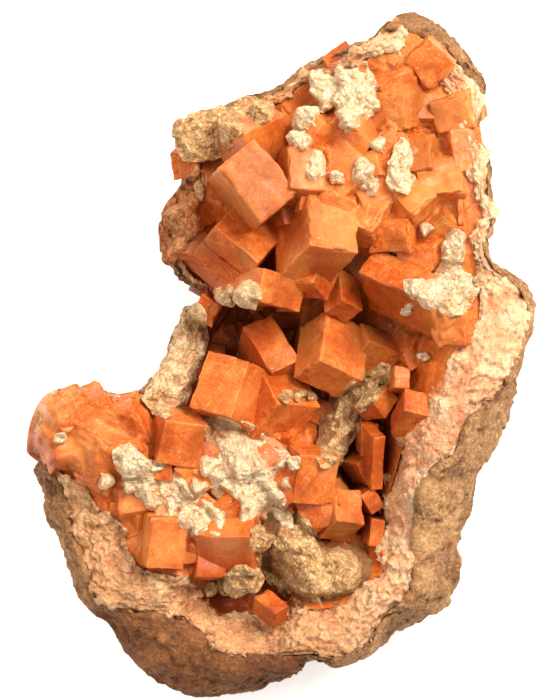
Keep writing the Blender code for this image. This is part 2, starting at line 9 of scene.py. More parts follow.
import bpy
import numpy as np
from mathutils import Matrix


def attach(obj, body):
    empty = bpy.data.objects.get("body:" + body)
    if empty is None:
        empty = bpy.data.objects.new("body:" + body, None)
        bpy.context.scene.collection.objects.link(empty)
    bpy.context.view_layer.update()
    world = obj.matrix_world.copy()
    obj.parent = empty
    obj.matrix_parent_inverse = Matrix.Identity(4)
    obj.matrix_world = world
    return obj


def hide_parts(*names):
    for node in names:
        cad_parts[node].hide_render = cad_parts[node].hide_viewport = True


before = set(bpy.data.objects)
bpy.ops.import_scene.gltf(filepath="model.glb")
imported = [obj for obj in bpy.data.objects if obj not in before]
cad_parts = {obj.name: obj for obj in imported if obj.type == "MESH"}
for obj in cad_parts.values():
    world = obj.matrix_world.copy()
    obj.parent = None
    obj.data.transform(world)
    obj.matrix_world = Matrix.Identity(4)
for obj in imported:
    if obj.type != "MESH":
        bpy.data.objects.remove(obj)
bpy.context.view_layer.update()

MM = 0.001

# Sizes shared with the CAD model, mm
LAYER = 3.2
RIM_LIFT = 0.4
UNDER_CURVE = 8.0
SPOT_REACH = 3.6
FAR_WEIGHT = 1e-9
MIDDLE_ENDS = (-20.0, 24.0)
MIDDLE_X = 2.0
MIDDLE_SLOPE = 0.25
LEAN = (12.0, 38.0)
MIDDLE_DEPTH = 0.55
STRETCH = (0.85, 1.2)
SEED = 7

# At the lobe the rock lies this much lower and further in, under the crystals
LOBE_SINK = 3.0
LOBE_DRAWN = 1.2

# How finely the surfaces are drawn
ROCK_ROUND = 640
RIM_ROUND = 1100
FLOOR_ROUND = 760
LARGE_GRID = 26
LESSER_GRID = 18
SMALL_GRID = 5
EDGE_ROUNDING = 0.16
SMALL_COUNT = 140
SMALL_EDGE = (1.4, 3.8)
SMALL_LEAN = (5.0, 50.0)

# The view: the middle of the photograph, the height it covers, and the eye's distance
VIEW_MIDDLE = (-1.05, 1.05)
VIEW_HEIGHT = 105.0
VIEW_PLANE = 20.0
EYE_DISTANCE = 700.0

# The rock's outline seen from above, clockwise from the top knob. Each row holds the
# point, the width of bare rock inside it, the distance in to the inner edge of the
# pale rim, the height at which the side is widest, and the y on the middle line that
# distances are measured towards.
OUTLINE = [
    (15.4, 49.3, 1, 5, 14, 24),
    (18, 50.8, 2, 6, 14, 24),
    (22, 50.4, 2.6, 7, 14, 24),
    (25.8, 47.9, 2.2, 6.5, 14, 24),
    (29, 44.2, 2, 6, 14, 24),
    (31, 40.8, 1, 6, 14, 24),
    (30.3, 36.5, 0.8, 5.5, 14, 24),
    (30.1, 33.5, 0.8, 5, 14, 24),
    (31.5, 29.5, 0.8, 4.5, 13, 23.5),
    (31.9, 24.5, 0.8, 2.6, 13, 19.5),
    (32.4, 20.8, 0.8, 2.6, 13, 16.5),
    (31.3, 17, 0.8, 2.6, 13, 13.5),
    (32.2, 13.9, 0.8, 3.2, 13, 11),
    (35.4, 11.8, 1.2, 6, 13, 9.5),
    (37.6, 9.2, 1.4, 8, 13, 7.5),
    (38.1, 5.5, 1.4, 9, 13, 4.5),
    (36.8, 0.6, 1.4, 11, 12, 0.5),
    (35.5, -3.6, 2, 12, 12, -3),
    (33.6, -9.5, 5, 13, 11, -7.5),
    (31, -14.4, 4.5, 13, 11, -11.5),
    (28.9, -18.4, 6.5, 12, 11, -14.5),
    (28, -23.5, 7.5, 12.5, 11, -19),
    (26.8, -28.2, 6.5, 12, 10, -20),
    (26.9, -32, 7, 13, 10, -20),
    (25.4, -37, 6, 12, 10, -20),
    (22, -39.5, 4.5, 10, 10, -20),
    (17, -41.2, 2.5, 8, 9, -20),
    (14.2, -44.2, 2, 9, 9, -20),
    (9, -46.6, 1.6, 10, 9, -20),
    (4.6, -46, 1.2, 9.5, 9, -20),
    (1.5, -48.4, 3.5, 11, 9, -20),
    (-4.2, -49.8, 4.5, 11, 9, -20),
    (-9.5, -50.5, 5.5, 12, 9, -20),
    (-13.5, -50.6, 8, 13, 9, -20),
    (-18.5, -48.2, 9, 14, 9, -20),
    (-22.3, -44.6, 7.5, 14, 9, -20),
    (-25.3, -39.9, 3, 11, 9, -20),
    (-29.2, -37.3, 2, 10, 9, -20),
    (-31.2, -32.5, 2, 9, 9, -20),
    (-33.2, -27.2, 1.8, 9, 9, -19.6),
    (-35.6, -23.2, 3.5, 8, 9, -19.2),
    (-36.9, -19.2, 4, 7, 9, -19),
    (-37.7, -15.4, 1.6, 3.6, 11, -18.8),
    (-37, -9.8, 0.9, 2.6, 12, -18.4),
    (-34.6, -5.8, 0.9, 2.6, 12, -18),
    (-30.4, -4.8, 0.9, 2.6, 12, -17.4),
    (-26, -5.6, 1, 2.8, 11, -16.4),
    (-21.8, -5.2, 1.2, 3, 11, -14),
    (-18.2, -2.2, 1.5, 3.2, 11, -9.6),
    (-16.1, 2.4, 1.5, 3.2, 10, -2.5),
    (-14.6, 6.4, 1.2, 2.8, 10, 2.5),
    (-12.3, 8.4, 1, 2.6, 10, 5.5),
    (-11.6, 9.8, 1, 2.6, 10, 8),
    (-13.4, 11, 1, 2.6, 10, 10.2),
    (-16.5, 12.6, 1.2, 2.8, 10, 12.5),
    (-17.4, 17, 1.2, 3, 10, 14.8),
    (-16.6, 22, 1.2, 3, 10, 17.5),
    (-14.6, 26, 1.2, 3, 10, 20),
    (-14.8, 30.5, 1.2, 3, 10, 22),
    (-14.6, 34.6, 1.2, 3, 11, 24),
    (-11, 36.8, 1.2, 3, 11, 24),
    (-6, 38.8, 1.2, 3, 12, 24),
    (-1, 40.8, 1, 3, 12, 24),
    (4, 44, 1, 3.2, 13, 24),
    (9.5, 46.6, 1.2, 4, 13, 24),
    (13.4, 47.8, 1.2, 4.5, 14, 24),
]

# Spot heights of the ground that the crystals grow from: x, y, z.
GROUND = [
    (16, 46, 27), (26, 43, 25), (24, 33, 23), (29, 33, 26), (29, 25, 28), (12, 41, 26),
    (4, 39, 23), (-6, 35, 22), (-13, 31, 18), (-14, 20, 17), (-7, 25, 24), (5, 25, 30),
    (16, 24, 30), (25, 17, 29), (15, 14, 23), (4, 11, 20), (-8, 13, 17), (34, 8, 25),
    (14, 34, 29), (21, 25, 29), (21, 32, 21), (24, 42, 22), (3, 41, 20), (8, 32, 27),
    (30, 0, 27), (24, -4, 27), (23, -12, 26), (20, -20, 24), (18, -30, 22),
    (15, -38, 21), (4, -42, 20), (-8, -44, 18), (-20, -37, 18), (-28, -30, 17),
    (-30, -22, 15.5), (-34, -19, 15), (-35, -11, 20.5), (-31, -7, 21.5), (-31, -12, 23),
    (-26, -10, 23), (-27, -16, 23.5), (-24, -20, 21), (-18, -14, 23),
    (-12, -20, 23), (-6, -18, 22), (2, -14, 20), (-8, -28, 22), (-16, -28, 22),
    (2, -30, 16), (8, -32, 17), (6, -23, 18), (12, -24, 9), (12, -17, 8), (12, -10, 10),
    (16, -4, 15), (0, 2, 10), (-6, 4, 8), (-10, 4, 10), (-14, 0, 15), (-17, -5, 18),
    (0, -5, 14), (8, 2, 15), (17, 2, 18), (-3, -35, 9), (-7, -38, 12),
]

# Rhombs measured one by one. Each row holds the corner nearest the eye (x, y, z), the far
# ends of its three edges as seen from above, and the true length of the third edge
# (0 keeps the length seen).
LARGE_RHOMBS = [
    ((-9.2, 27.8, 34), (-2.7, 19.7), (-3.6, 32.3), (-12.3, 25.2), 0),
    ((4.4, 16.6, 35.5), (4.1, 25.6), (-0.7, 11.4), (12, 15.2), 8),
    ((-5.2, 33, 31), (0.6, 36.2), (-4.2, 27), (-6.4, 33.6), 7),
    ((1.4, 24.8, 34), (1, 31.2), (6.8, 24.6), (0.6, 23.8), 7),
    ((-3.2, 13.9, 27.5), (-9.8, 19.4), (-4.9, 11.6), (-1.1, 16.2), 8),
    ((-6, 12.4, 24), (-11.6, 17.2), (-7.6, 10.4), (-3.9, 14.6), 8),
    ((-8.8, 12.2, 20.4), (-13.6, 16.4), (-10.2, 10.2), (-6.6, 14.4), 8),
    ((-3.4, 8.3, 29), (3, 6.6), (-10.2, 9.6), (-2.7, 11.2), 5),
    ((4.7, 11, 28), (7, 8.4), (-0.9, 11.4), (5.9, 13.4), 6),
    ((9.2, 8.6, 25), (12.5, 7), (6.6, 6.6), (9, 10.8), 6),
    ((6, -0.6, 26), (7, 7.2), (1.9, -3.2), (12.6, -3.6), 8),
    ((-1.4, -2.3, 21), (-5.7, 4.7), (3.1, -0.4), (-1.7, -3.5), 7),
    ((-7.4, -9, 26), (-13.7, -7.5), (-4.6, -0.4), (-4.8, -10.6), 9),
    ((-0.4, -6.8, 24), (6.2, -7.4), (-4.3, -12.4), (-1, -5.6), 7),
    ((3, -14.5, 23.5), (9, -15), (1.8, -21.9), (2.2, -13.8), 7),
    ((8.5, -24.5, 21.5), (7.9, -19.5), (12.8, -25.1), (4.9, -28.3), 6.5),
    ((13.4, 2.4, 21.5), (19, 0.2), (12.2, 5.4), (11.2, -0.2), 6),
    ((22, 7.8, 33), (11.6, 12.6), (24, 2.2), (24.8, 11.6), 0),
    ((17, -4.6, 22), (19.4, -4.8), (17.2, -1.2), (16.2, -5.2), 6),
    ((14.2, -7.2, 20), (16.2, -4.2), (16, -9.4), (13, -7.3), 5),
    ((18.3, -8, 26), (18.6, -4.6), (16.5, -12.2), (21.5, -8.6), 6),
    ((12.2, -10.1, 17), (15, -10.2), (12.1, -14.9), (11.9, -9.8), 6),
    ((11.5, -16, 16.5), (13.7, -14.6), (13.1, -19.4), (10.7, -15.9), 5),
    ((14, -12, 21), (15.8, -11.8), (13.7, -20.2), (13.2, -11.1), 6),
    ((12.1, -21, 17.5), (14.1, -19.6), (13.9, -23.9), (11.2, -20.9), 6),
    ((13.8, -24.3, 18), (16, -24.6), (13.3, -28.5), (13.1, -23.9), 6),
    ((-17, -9.4, 26.2), (-10.6, -10.4), (-18.4, -15.8), (-18.6, -7.2), 8),
    ((-19.2, -24, 25), (-13.8, -24.2), (-19.8, -31.6), (-20, -23.4), 7),
    ((-4.6, -26.8, 25.5), (-13.2, -26.6), (-3.6, -33.2), (-4, -24.6), 8),
    ((-0.9, -38.4, 21), (1.4, -37.2), (-1.2, -41), (-2.3, -37.3), 4.5),
]

# Lesser rhombs, whose turn and lean are seeded: x, y, height of the top, edge.
LESSER_RHOMBS = [
    (10.5, 33.4, 30.2, 7.2), (17.3, 36.9, 29.2, 5.8), (22.2, 37.2, 24.6, 5.6),
    (22.2, 44.4, 27.4, 5.8), (23.8, 25.6, 28.8, 5.8), (28.2, 22.6, 28, 5),
    (24.2, 19.6, 28.2, 5.2), (17, 18.6, 29.2, 5.8), (20.6, 15.2, 28.6, 5.2),
    (16.8, 40.6, 27.4, 5.2), (10.4, 43.4, 25.2, 5.4), (5.4, 32.6, 30.6, 5.6),
    (9.6, 27.2, 30.6, 6.4), (14.2, 26.2, 30.2, 6.8), (18, 46, 27.2, 5.8),
    (26.6, 37, 26.4, 5.8), (27.6, 30.6, 27, 5.4), (12.8, 20.4, 29.8, 5.8),
    (19.4, 22.8, 29.6, 5.6), (26.4, 16.6, 28, 5.2), (21, 29.6, 27.8, 5),
    (-13.4, 16.4, 20.6, 4.6), (-13.6, 20.8, 20.8, 4.8), (-13.6, 29.6, 21.2, 4.4),
    (-10.8, 7.6, 18.6, 4), (26.2, 4.4, 28.6, 4.8), (-32, -8.4, 23.8, 6.8),
    (-28.2, -8.4, 24, 6), (-23.4, -9.8, 24.2, 6.2), (-32.4, -13, 23.4, 5.8),
    (-27.6, -13.8, 25, 6.6), (-22.4, -14.6, 24, 5.8), (-21.6, -21.6, 22.6, 4.6),
    (-27.4, -17.6, 22.6, 4.4), (-7.2, -22.8, 22.8, 4.4), (-12.6, -17.6, 23.2, 5),
    (1.4, -18.6, 22.4, 5), (-4.8, -16, 22.4, 4.6), (6.8, -22.4, 19.6, 5.6),
    (7.2, 23.6, 31, 5.4), (16.4, 30.8, 29, 5.4), (12.2, 37.8, 27.4, 5.6),
]

# Cream patches: name, outline seen from above, height over the ground.
CREAM = [
    ("cream_crust_upper_left", 4.5, [
        (-15.4, 35), (-12, 36.6), (-8, 37.6), (-4.5, 38.6), (-2.8, 36.8),
        (-5.2, 34.2), (-7, 31.6), (-10, 29.8), (-13.8, 29.6), (-15.3, 32)]),
    ("cream_crust_left_edge", 4, [
        (-17.4, 22.2), (-14.8, 25.8), (-12.6, 28.6), (-12.2, 24), (-12.6, 18.6),
        (-16.8, 14.2), (-17.8, 18)]),
    ("cream_crust_top", 6, [
        (5.9, 41.8), (8.6, 42), (11.8, 43.4), (13.9, 38.6), (12.4, 36.2),
        (9.8, 33.6), (9, 36.8), (6.2, 38.6)]),
    ("cream_crust_middle_spots", 6.5, [
        (17.4, 31), (19, 31), (19.6, 27.4), (18.8, 25.2), (16.6, 25.8), (16.4, 28)]),
    ("cream_crust_right_rhomb", 6.5, [
        (19.2, 11.4), (22.4, 11.6), (24.6, 14.6), (24.6, 16.6), (26.2, 17), (28.2, 13),
        (28.6, 10.8), (26.8, 7.6), (24.6, 7.4), (21.6, 8.2)]),
    ("cream_crust_inner_left", 3.4, [
        (-14.6, 6.8), (-12.4, 7.4), (-11.2, 4.8), (-11.4, 1.5), (-12.6, -2.4),
        (-13.6, -5), (-15.2, -8), (-18, -8.4), (-20, -6.8), (-19.8, -4.4),
        (-17.8, -1), (-16.2, 2.8)]),
    ("cream_crust_lower_left", 5.2, [
        (-23.2, -16.2), (-21.6, -14.4), (-19.4, -16), (-16.4, -17), (-13.8, -19.2),
        (-10.2, -22.6), (-11.4, -25.4), (-14.6, -24.4), (-18.6, -22.4), (-21.2, -19.4)]),
    ("cream_crust_centre", 4.6, [
        (-9.8, -11.4), (-7.2, -11), (-4.3, -11.8), (-1.6, -13.6), (0.4, -16),
        (-1.4, -18), (0.5, -22.8), (-0.2, -24.4), (-5.2, -24.4), (-6.2, -21.4),
        (-9, -19.6), (-9.4, -15)]),
    ("cream_crust_pocket", 4.6, [
        (15.4, -2.9), (12.5, -3.2), (10.2, -5), (8, -6.6), (7, -10), (6.8, -14),
        (9.2, -14.6), (11, -11.6), (12.4, -8.4), (14.2, -6.4)]),
    ("cream_crust_bottom", 5.2, [
        (0.2, -25.2), (3.8, -25.4), (6.4, -29.2), (9, -28.8), (12.2, -31.4),
        (11, -35), (6.4, -36), (1.6, -35), (-1.6, -31.2), (-1.4, -27.4)]),
]

# Loose cream crumbs beside the patches: x, y, reach.
CRUMBS = [
    (3.6, 35, 1.6), (2.6, 31.9, 1.5), (5.2, 28.2, 1.6), (12.8, 26.8, 1.4),
    (27.3, 8.5, 1.2), (19, 6.9, 0.8), (23.8, 6.7, 0.7), (27.8, 12.2, 1.4), (26, 15.4, 1.8),
    (2.2, -16, 0.9), (0.8, -18.9, 0.7), (-10.6, -16, 1.2), (-12, -19.5, 1.2),
    (0.6, -6.1, 0.9), (2.6, -6, 1.1), (4.6, -5.8, 0.8), (-3, -27.2, 1.5),
    (-6, -33.6, 1.9), (-10.2, -35, 1), (-12.8, -24.8, 1.4), (18.4, -12.6, 0.8),
    (21.4, 0, 0.7), (-4.6, 9.3, 1.5), (-8, 9.5, 1.3), (-2.6, 36.4, 1.6), (7.6, 38.8, 1.6),
    (10, 35.2, 1.2),
    (-33, -12, 0.7), (-26, -18.6, 1), (14.6, 31.4, 1), (21.6, 19, 0.8),
    (-7.6, -33.9, 1.7), (-4.4, -33.2, 1.6), (8.2, 26.5, 0.9), (13.6, 25.6, 1.2), (29.4, 17.6, 1.1),
    (30, 11.8, 1.2), (4.4, 35.8, 1.2), (12, 28.4, 0.8), (-22.6, -19, 1), (20.8, 9.6, 0.9),
]

# Where the crystals take a tint, x, y, reach: a dark red-brown, partly painted shade on faces and gaps
# in shadow; pale and veiled, partly painted light on lit faces; smoke-brown, partly a painted sheen
# where faces reflect the light.
DEEP_AND_SHADE = [
    (-9, 14.5, 3), (-13.5, 12.5, 3), (15, 8.4, 4.4), (1, 19.5, 3), (0.4, 29.4, 1.2),
    (-3.4, 3, 3.2), (-12, -13, 2.4), (13.4, -15, 3.2), (13.6, -9, 2.5), (17.8, -7.6, 2),
    (-8.8, -31.2, 6.4), (-0.4, -38.6, 2.6), (9.5, 45.5, 3), (0.5, 8.6, 2.4), (13.8, -24.5, 2.4),
    (1.4, 34.2, 2.6), (8.5, 33.2, 2.2), (-36.4, -13.4, 1.8), (9.6, 1.4, 2.6), (-1, -3, 1.6),
    (5.4, 9.6, 2.4), (9.4, 8, 2.4), (6, 13.4, 2.2), (-17, -12.6, 2), (2, -20.6, 2.4),
    (22, 3.6, 1.8), (-33, -16, 2),
]
PALE_AND_LIT = [
    (16.5, 46.5, 4.2), (27, 37, 3.6), (17, 37, 3), (9.5, 20, 3.6), (14.5, 24, 3),
    (28.2, 26, 3.6), (5, 27.5, 2.8), (-26, -10.6, 2.4), (-30.5, -13.6, 2.6), (-21, -21.5, 3),
    (-17, -28, 3.2), (-8.5, -25.8, 2.6), (3.5, 37, 2.5), (2, 12.8, 2.2), (24.5, 5, 2.6),
    (7.5, -17, 2.4), (20.6, 24.4, 2.4), (-34.6, -8.4, 2), (12, 30, 2.6), (24, 12, 2.4),
    (-5.6, -6, 2.2), (12.5, 36, 2.4),
]
SMOKY_AND_SHEEN = [
    (-3.6, 26.2, 4.8), (22, 37, 2.8), (21.5, 30, 2.8), (24, 21, 2.4), (17, 15.6, 1.8),
    (2.8, 2.6, 2.6), (13.5, 3, 3), (-1, -0.5, 1.4), (-5.2, 15.4, 1.4), (-12.8, 17.4, 2.2),
    (9.2, -26, 2.2), (9.8, -18, 2.2), (10, 12.5, 1.8), (13.6, 34, 1.8), (-10.6, -10.4, 1.6),
]

# The patches that pile up over the crystals, those at the outline, whose flank stays
# inside it, and the finish of those that aren't bright
PILED_UP = {"cream_crust_upper_left", "cream_crust_bottom", "cream_crust_pocket",
            "cream_crust_inner_left"}
AT_THE_EDGE = {"cream_crust_upper_left", "cream_crust_left_edge", "cream_crust_inner_left"}
CREAM_FINISH = {"cream_crust_upper_left": "tan", "cream_crust_bottom": "tan",
                "cream_crust_inner_left": "pale", "cream_crust_pocket": "tan",
                "cream_crust_left_edge": "rusty"}

# The cream's finishes: material name, then light, middle and dark colour as screen values
CREAM_LOOKS = {
    "bright": ("cream", (255, 246, 220), (252, 230, 192), (214, 158, 104)),
    "tan": ("cream_tan", (248, 216, 164), (222, 178, 122), (146, 92, 50)),
    "pale": ("cream_pale", (255, 236, 198), (244, 208, 158), (182, 122, 72)),
    "rusty": ("crust_rusty", (232, 166, 108), (196, 122, 70), (132, 66, 26)),
}

# A piled-up patch: how far its dome stands under the listed height, and its profile, as
# heights over the crown at shares of the outline
PILE_SINK = 2.2
DOME_SHARES = (0.0, 0.62, 0.9, 1.0, 1.3)
DOME_HEIGHTS = (0.2, 0.0, -1.2, -3.4, -9.0)

# The lamps: name, place in metres, width, power and colour
LAMPS = [
    ("key", (0.30, 0.30, 0.50), 0.34, 6.8, (1.0, 0.92, 0.80)),
    ("fill", (-0.4, 0.1, 0.7), 0.7, 3.2, (1.0, 0.93, 0.84)),
]
ROOM_COLOUR = (1.0, 0.93, 0.84, 1.0)
ROOM_STRENGTH = 0.40
TABLE_HALF = 1.5
TABLE_DROP = 0.00005


# Noise and cells

def hashed(cells, seed):
    """A number from 0 to 1 for each whole-number cell, by mixing its three numbers' bits."""
    x, y, z = (cells[..., k].astype(np.int64).astype(np.uint32) for k in range(3))
    mixed = (x * np.uint32(73856093)) ^ (y * np.uint32(19349663)) ^ (z * np.uint32(83492791))
    mixed = mixed ^ np.uint32((seed * 2654435761) % 2**32)
    mixed = (mixed ^ (mixed >> np.uint32(13))) * np.uint32(1274126177)
    mixed = (mixed ^ (mixed >> np.uint32(15))) * np.uint32(2246822519)
    mixed = mixed ^ (mixed >> np.uint32(16))
    return (mixed & np.uint32(0xFFFFFF)) / 16777215.0


def smooth_noise(points, size, seed):
    """Noise from -1 to 1: hashed values at the corners of a lattice, blended smoothly."""
    place = points / size
    cell = np.floor(place)
    part = place - cell
    blend = part * part * (3 - 2 * part)
    total = np.zeros(points.shape[:-1])
    for corner in np.ndindex(2, 2, 2):
        step = np.array(corner)
        weight = np.where(step, blend, 1 - blend).prod(-1)
        total += weight * hashed(cell + step, seed)
    return 2 * total - 1


def cloudy(points, size, octaves, seed):
    """Sum of smooth noise, each layer half the size and half the strength of the last."""
    layers = range(octaves)
    return sum(smooth_noise(points, size / 2**k, seed + k) / 2**k for k in layers)


def nearest_seed(points, size, seed):
    """Offset to the nearest of one scattered seed per lattice cell, and that seed's cell."""
    cell = np.floor(points / size)
    best = np.full(points.shape[:-1], np.inf)
    offset = np.zeros_like(points)
    owner = np.zeros_like(points)
    for step in np.ndindex(3, 3, 3):
        other = cell + np.array(step) - 1
        jitter = np.stack([hashed(other, seed + k) for k in (11, 12, 13)], -1)
        away = points - (other + jitter) * size
        far = (away**2).sum(-1)
        closer = far < best
        best = np.where(closer, far, best)
        offset = np.where(closer[..., None], away, offset)
        owner = np.where(closer[..., None], other, owner)
    return offset, owner


def broken(points, size, seed):
    """Broken faces, -1 to 1: each cell is a plane through its seed with its own tilt."""
    offset, owner = nearest_seed(points, size, seed)
    tilt = np.stack([hashed(owner, seed + k) for k in (21, 22, 23)], -1) * 2 - 1
    level = hashed(owner, seed + 24) * 2 - 1
    return np.clip((offset * tilt).sum(-1) / size + 0.4 * level, -1, 1)


def corner_field(flat, size, seed):
    """A druse of crystal corners: the highest, over nearby seeds, of three falling planes.

    A seed's corner is its own height less the greatest of slope * distance along three
    directions 120 degrees apart; turn, slopes and height are hashed from its cell.
    """
    cell = np.floor(flat / size)
    best = np.full(flat.shape[:-1], -np.inf)
    for step in np.ndindex(5, 5):
        other = np.concatenate([cell + np.array(step) - 2, np.zeros((*cell.shape[:-1], 1))], -1)
        x, y, turn, rise, *slopes = (hashed(other, seed + k) for k in range(7))
        away = flat - (other[..., :2] + np.stack([x, y], -1)) * size
        falls = []
        for k, slope in enumerate(slopes):
            angle = 2 * math.pi * (turn + k / 3)
            reach = away[..., 0] * np.cos(angle) + away[..., 1] * np.sin(angle)
            falls.append((0.35 + 1.5 * slope) * reach)
        best = np.maximum(best, 0.8 * size * rise - np.maximum.reduce(falls))
    return best


def knobbly(points, size, seed):
    """Cauliflower knobs, 0 to 1: a half-ball over each seed, height sqrt(1 - (r/R)^2)."""
    offset, _ = nearest_seed(points, size, seed)
    away = np.linalg.norm(offset, axis=-1) / (0.85 * size)
    return np.sqrt(np.maximum(0.0, 1 - away**2))


# Ground and outline

def closed_curve(rows, count):
    """Catmull-Rom curve through the rows, closed, read at count evenly spaced places."""
    rows = np.array(rows, float)
    t = np.linspace(0.0, 1.0, 40, endpoint=False)[None, :, None]
    a, b, c, d = (np.roll(rows, -k, axis=0)[:, None, :] for k in (-1, 0, 1, 2))
    fine = 0.5 * (2 * b + (c - a) * t + (2 * a - 5 * b + 4 * c - d) * t**2
                  + (3 * b - a - 3 * c + d) * t**3)
    fine = fine.reshape(-1, rows.shape[1])
    fine = np.vstack([fine, fine[:1]])
    along = np.concatenate([[0.0], np.cumsum(np.linalg.norm(np.diff(fine[:, :2], axis=0), axis=1))])
    wanted = np.linspace(0.0, along[-1], count, endpoint=False)
    return np.column_stack([np.interp(wanted, along, column) for column in fine.T])


def ground(points):
    """Height of the ground at each (x, y): the spot heights, weighted by nearness."""
    flat = points[..., :2].reshape(-1, 2)
    spots = np.array(GROUND, float)
    away = np.linalg.norm(flat[:, None, :] - spots[None, :, :2], axis=2)
    weight = np.exp(-((away / SPOT_REACH) ** 2) / 2) + FAR_WEIGHT / (1 + away**4)
    return ((weight * spots[:, 2]).sum(1) / weight.sum(1)).reshape(points.shape[:-1])


def floor_height(flat):
    """The ground broken into fused blocks: corners of two sizes, tilted planes and swells."""
    spot = np.concatenate([flat, np.zeros((*flat.shape[:-1], 1))], -1)
    blocks = corner_field(flat, 5.0, 60) - 2.9 + 0.3 * corner_field(flat, 1.7, 61)
    blocks += 0.6 * broken(spot, 3.4, 62) + 0.4 * smooth_noise(spot, 6.0, 63)
    return ground(flat) + np.clip(blocks, -1.8, 1.9)


def tinted(places, rows):
    """How much of a tint each place has: 1.5 * exp(-(away / reach)^2), at most 1, ragged."""
    ragged = 1 + 0.3 * smooth_noise(places, 4.0, 90) + 0.25 * smooth_noise(places, 1.4, 91)
    best = np.zeros(places.shape[:-1])
    for x, y, reach in rows:
        away = np.hypot(places[..., 0] - x, places[..., 1] - y) / (reach * ragged)
        best = np.maximum(best, np.clip(1.5 * np.exp(-away**2), 0, 1))
    return best


def crystal_tints(places):
    """The three tints of the crystals' colour, as marks: dark red-brown partly painted shade, pale
    partly painted light on lit faces, smoke-brown partly a painted sheen.
    """
    rows = {"deep_and_shade": DEEP_AND_SHADE, "pale": PALE_AND_LIT, "smoky_and_sheen": SMOKY_AND_SHEEN}
    return {name: tinted(places, spots) for name, spots in rows.items()}


def middle_line(y):
    """The specimen's middle line, as points at the given y."""
    return np.column_stack([MIDDLE_X + MIDDLE_SLOPE * y, y])


class Outline:
    """The outline curve, and rings at a distance inside it."""

    def __init__(self, count):
        curve = closed_curve(OUTLINE, count)
        self.count = count
        self.edge, self.bare, self.pale, self.waist, along = curve[:, :2], *curve[:, 2:].T
        along = np.clip(along, *MIDDLE_ENDS)
        self.inward = middle_line(along) - self.edge
        self.reach = np.linalg.norm(self.inward, axis=1)
        self.inward /= self.reach[:, None]
        stops = np.linspace(*MIDDLE_ENDS, max(6, count // 14))
        self.middle = middle_line(stops)
        self.nearest = np.abs(along[:, None] - stops).argmin(1)
        x, y = self.edge.T
        self.lobe = np.clip((-20.5 - x) / 4, 0, 1) * np.clip((y + 17.0) / 2.5, 0, 1)

    def rings(self, inside, height):
        """Rings as an array (rings, points, 3) from distances inside and heights."""
        inside = np.broadcast_to(inside, np.broadcast_shapes(np.shape(inside), (1, self.count)))
        flat = self.edge + self.inward * inside[..., None]
        height = np.broadcast_to(height, inside.shape)
        return np.concatenate([flat, height[..., None]], -1)

    def ground_rings(self, inside, lift):
        """Rings whose height is the ground's, plus a lift."""
        rings = self.rings(inside, 0.0)
        rings[..., 2] = ground(rings) + lift
        return rings


# Meshes

def ring_faces(rings, around, hoop=False):
    """Quads between neighbouring rings of a grid; a hoop joins the last to the first."""
    last = rings if hoop else rings - 1
    row, column = np.meshgrid(np.arange(last), np.arange(around), indexing="ij")
    up = (row + 1) % rings
    right = (column + 1) % around
    quads = np.stack([row * around + column, row * around + right,
                      up * around + right, up * around + column], -1)
    return quads.reshape(-1, 4)


def cap_faces(first, around, stops, nearest):
    """Triangles from a ring that starts at index first to its nearest of the stops.

    Each side of the ring makes one triangle with its nearest stop, and one more fills in
    wherever the nearest stop changes.
    """
    here = np.arange(around)
    after = np.roll(here, -1)
    main = np.column_stack([first + here, first + after, stops + nearest])
    change = nearest != nearest[after]
    fill = np.column_stack([first + after, stops + nearest[after], stops + nearest])[change]
    return np.vstack([main, fill])


def closed_body(outline, grid, low, high):
    """A grid of rings closed on two lines, as points and faces."""
    points = np.vstack([grid.reshape(-1, 3), low, high])
    start = grid.shape[0] * grid.shape[1]
    faces = [ring_faces(len(grid), outline.count),
             cap_faces(0, outline.count, start, outline.nearest)[:, ::-1],
             cap_faces(start - outline.count, outline.count, start + len(low), outline.nearest)]
    return points, faces


def surface_normals(grid, closed_rows=False):
    """Unit normals of a grid of rings, by crossing its two directions."""
    around = np.roll(grid, -1, 1) - np.roll(grid, 1, 1)
    if closed_rows:
        across = np.roll(grid, -1, 0) - np.roll(grid, 1, 0)
    else:
        across = np.gradient(grid, axis=0)
    normal = np.cross(around, across)
    return normal / np.maximum(np.linalg.norm(normal, axis=-1, keepdims=True), 1e-9)


def volume_of(points, faces):
    """Signed volume, as the sum over fans of triangles of their corners' triple product."""
    total = 0.0
    for part in faces:
        a = points[part[:, 0]]
        for k in range(1, part.shape[1] - 1):
            b, c = points[part[:, k]], points[part[:, k + 1]]
            total += np.einsum("ij,ij->", a, np.cross(b, c)) / 6
    return total


def add_piece(name, points, faces, material, nodes, marks=None):
    """A smooth mesh object in metres that stands for CAD nodes; marks are per-point numbers."""
    if volume_of(points, faces) < 0:
        faces = [part[:, ::-1] for part in faces]
    mesh = bpy.data.meshes.new(name)
    mesh.vertices.add(len(points))
    mesh.vertices.foreach_set("co", (points * MM).ravel())
    sizes = np.concatenate([np.full(len(part), part.shape[1]) for part in faces])
    mesh.loops.add(int(sizes.sum()))
    mesh.loops.foreach_set("vertex_index", np.concatenate([part.ravel() for part in faces]))
    mesh.polygons.add(len(sizes))
    mesh.polygons.foreach_set("loop_start", np.concatenate([[0], np.cumsum(sizes)[:-1]]))
    mesh.polygons.foreach_set("use_smooth", np.ones(len(sizes), bool))
    for key, values in (marks or {}).items():
        mesh.attributes.new(key, "FLOAT", "POINT").data.foreach_set("value", values.ravel())
    mesh.update()
    mesh.validate()
    mesh.materials.append(material)
    piece = bpy.data.objects.new(name, mesh)
    bpy.context.scene.collection.objects.link(piece)
    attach(piece, "root")
    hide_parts(*nodes)


# Crystals

def corner_edges(seen):
    """Edges that look like the three seen from above and meet squarely.

    For seen edges p, q, r the drops are sqrt((p.q)(p.r) / (q.r)) and so on round.
    """
    dots = np.array([seen[1] @ seen[2], seen[2] @ seen[0], seen[0] @ seen[1]])
    drop = np.sqrt(np.abs(dots[[1, 2, 0]] * dots[[2, 0, 1]] / dots))
    return np.column_stack([seen, -drop])


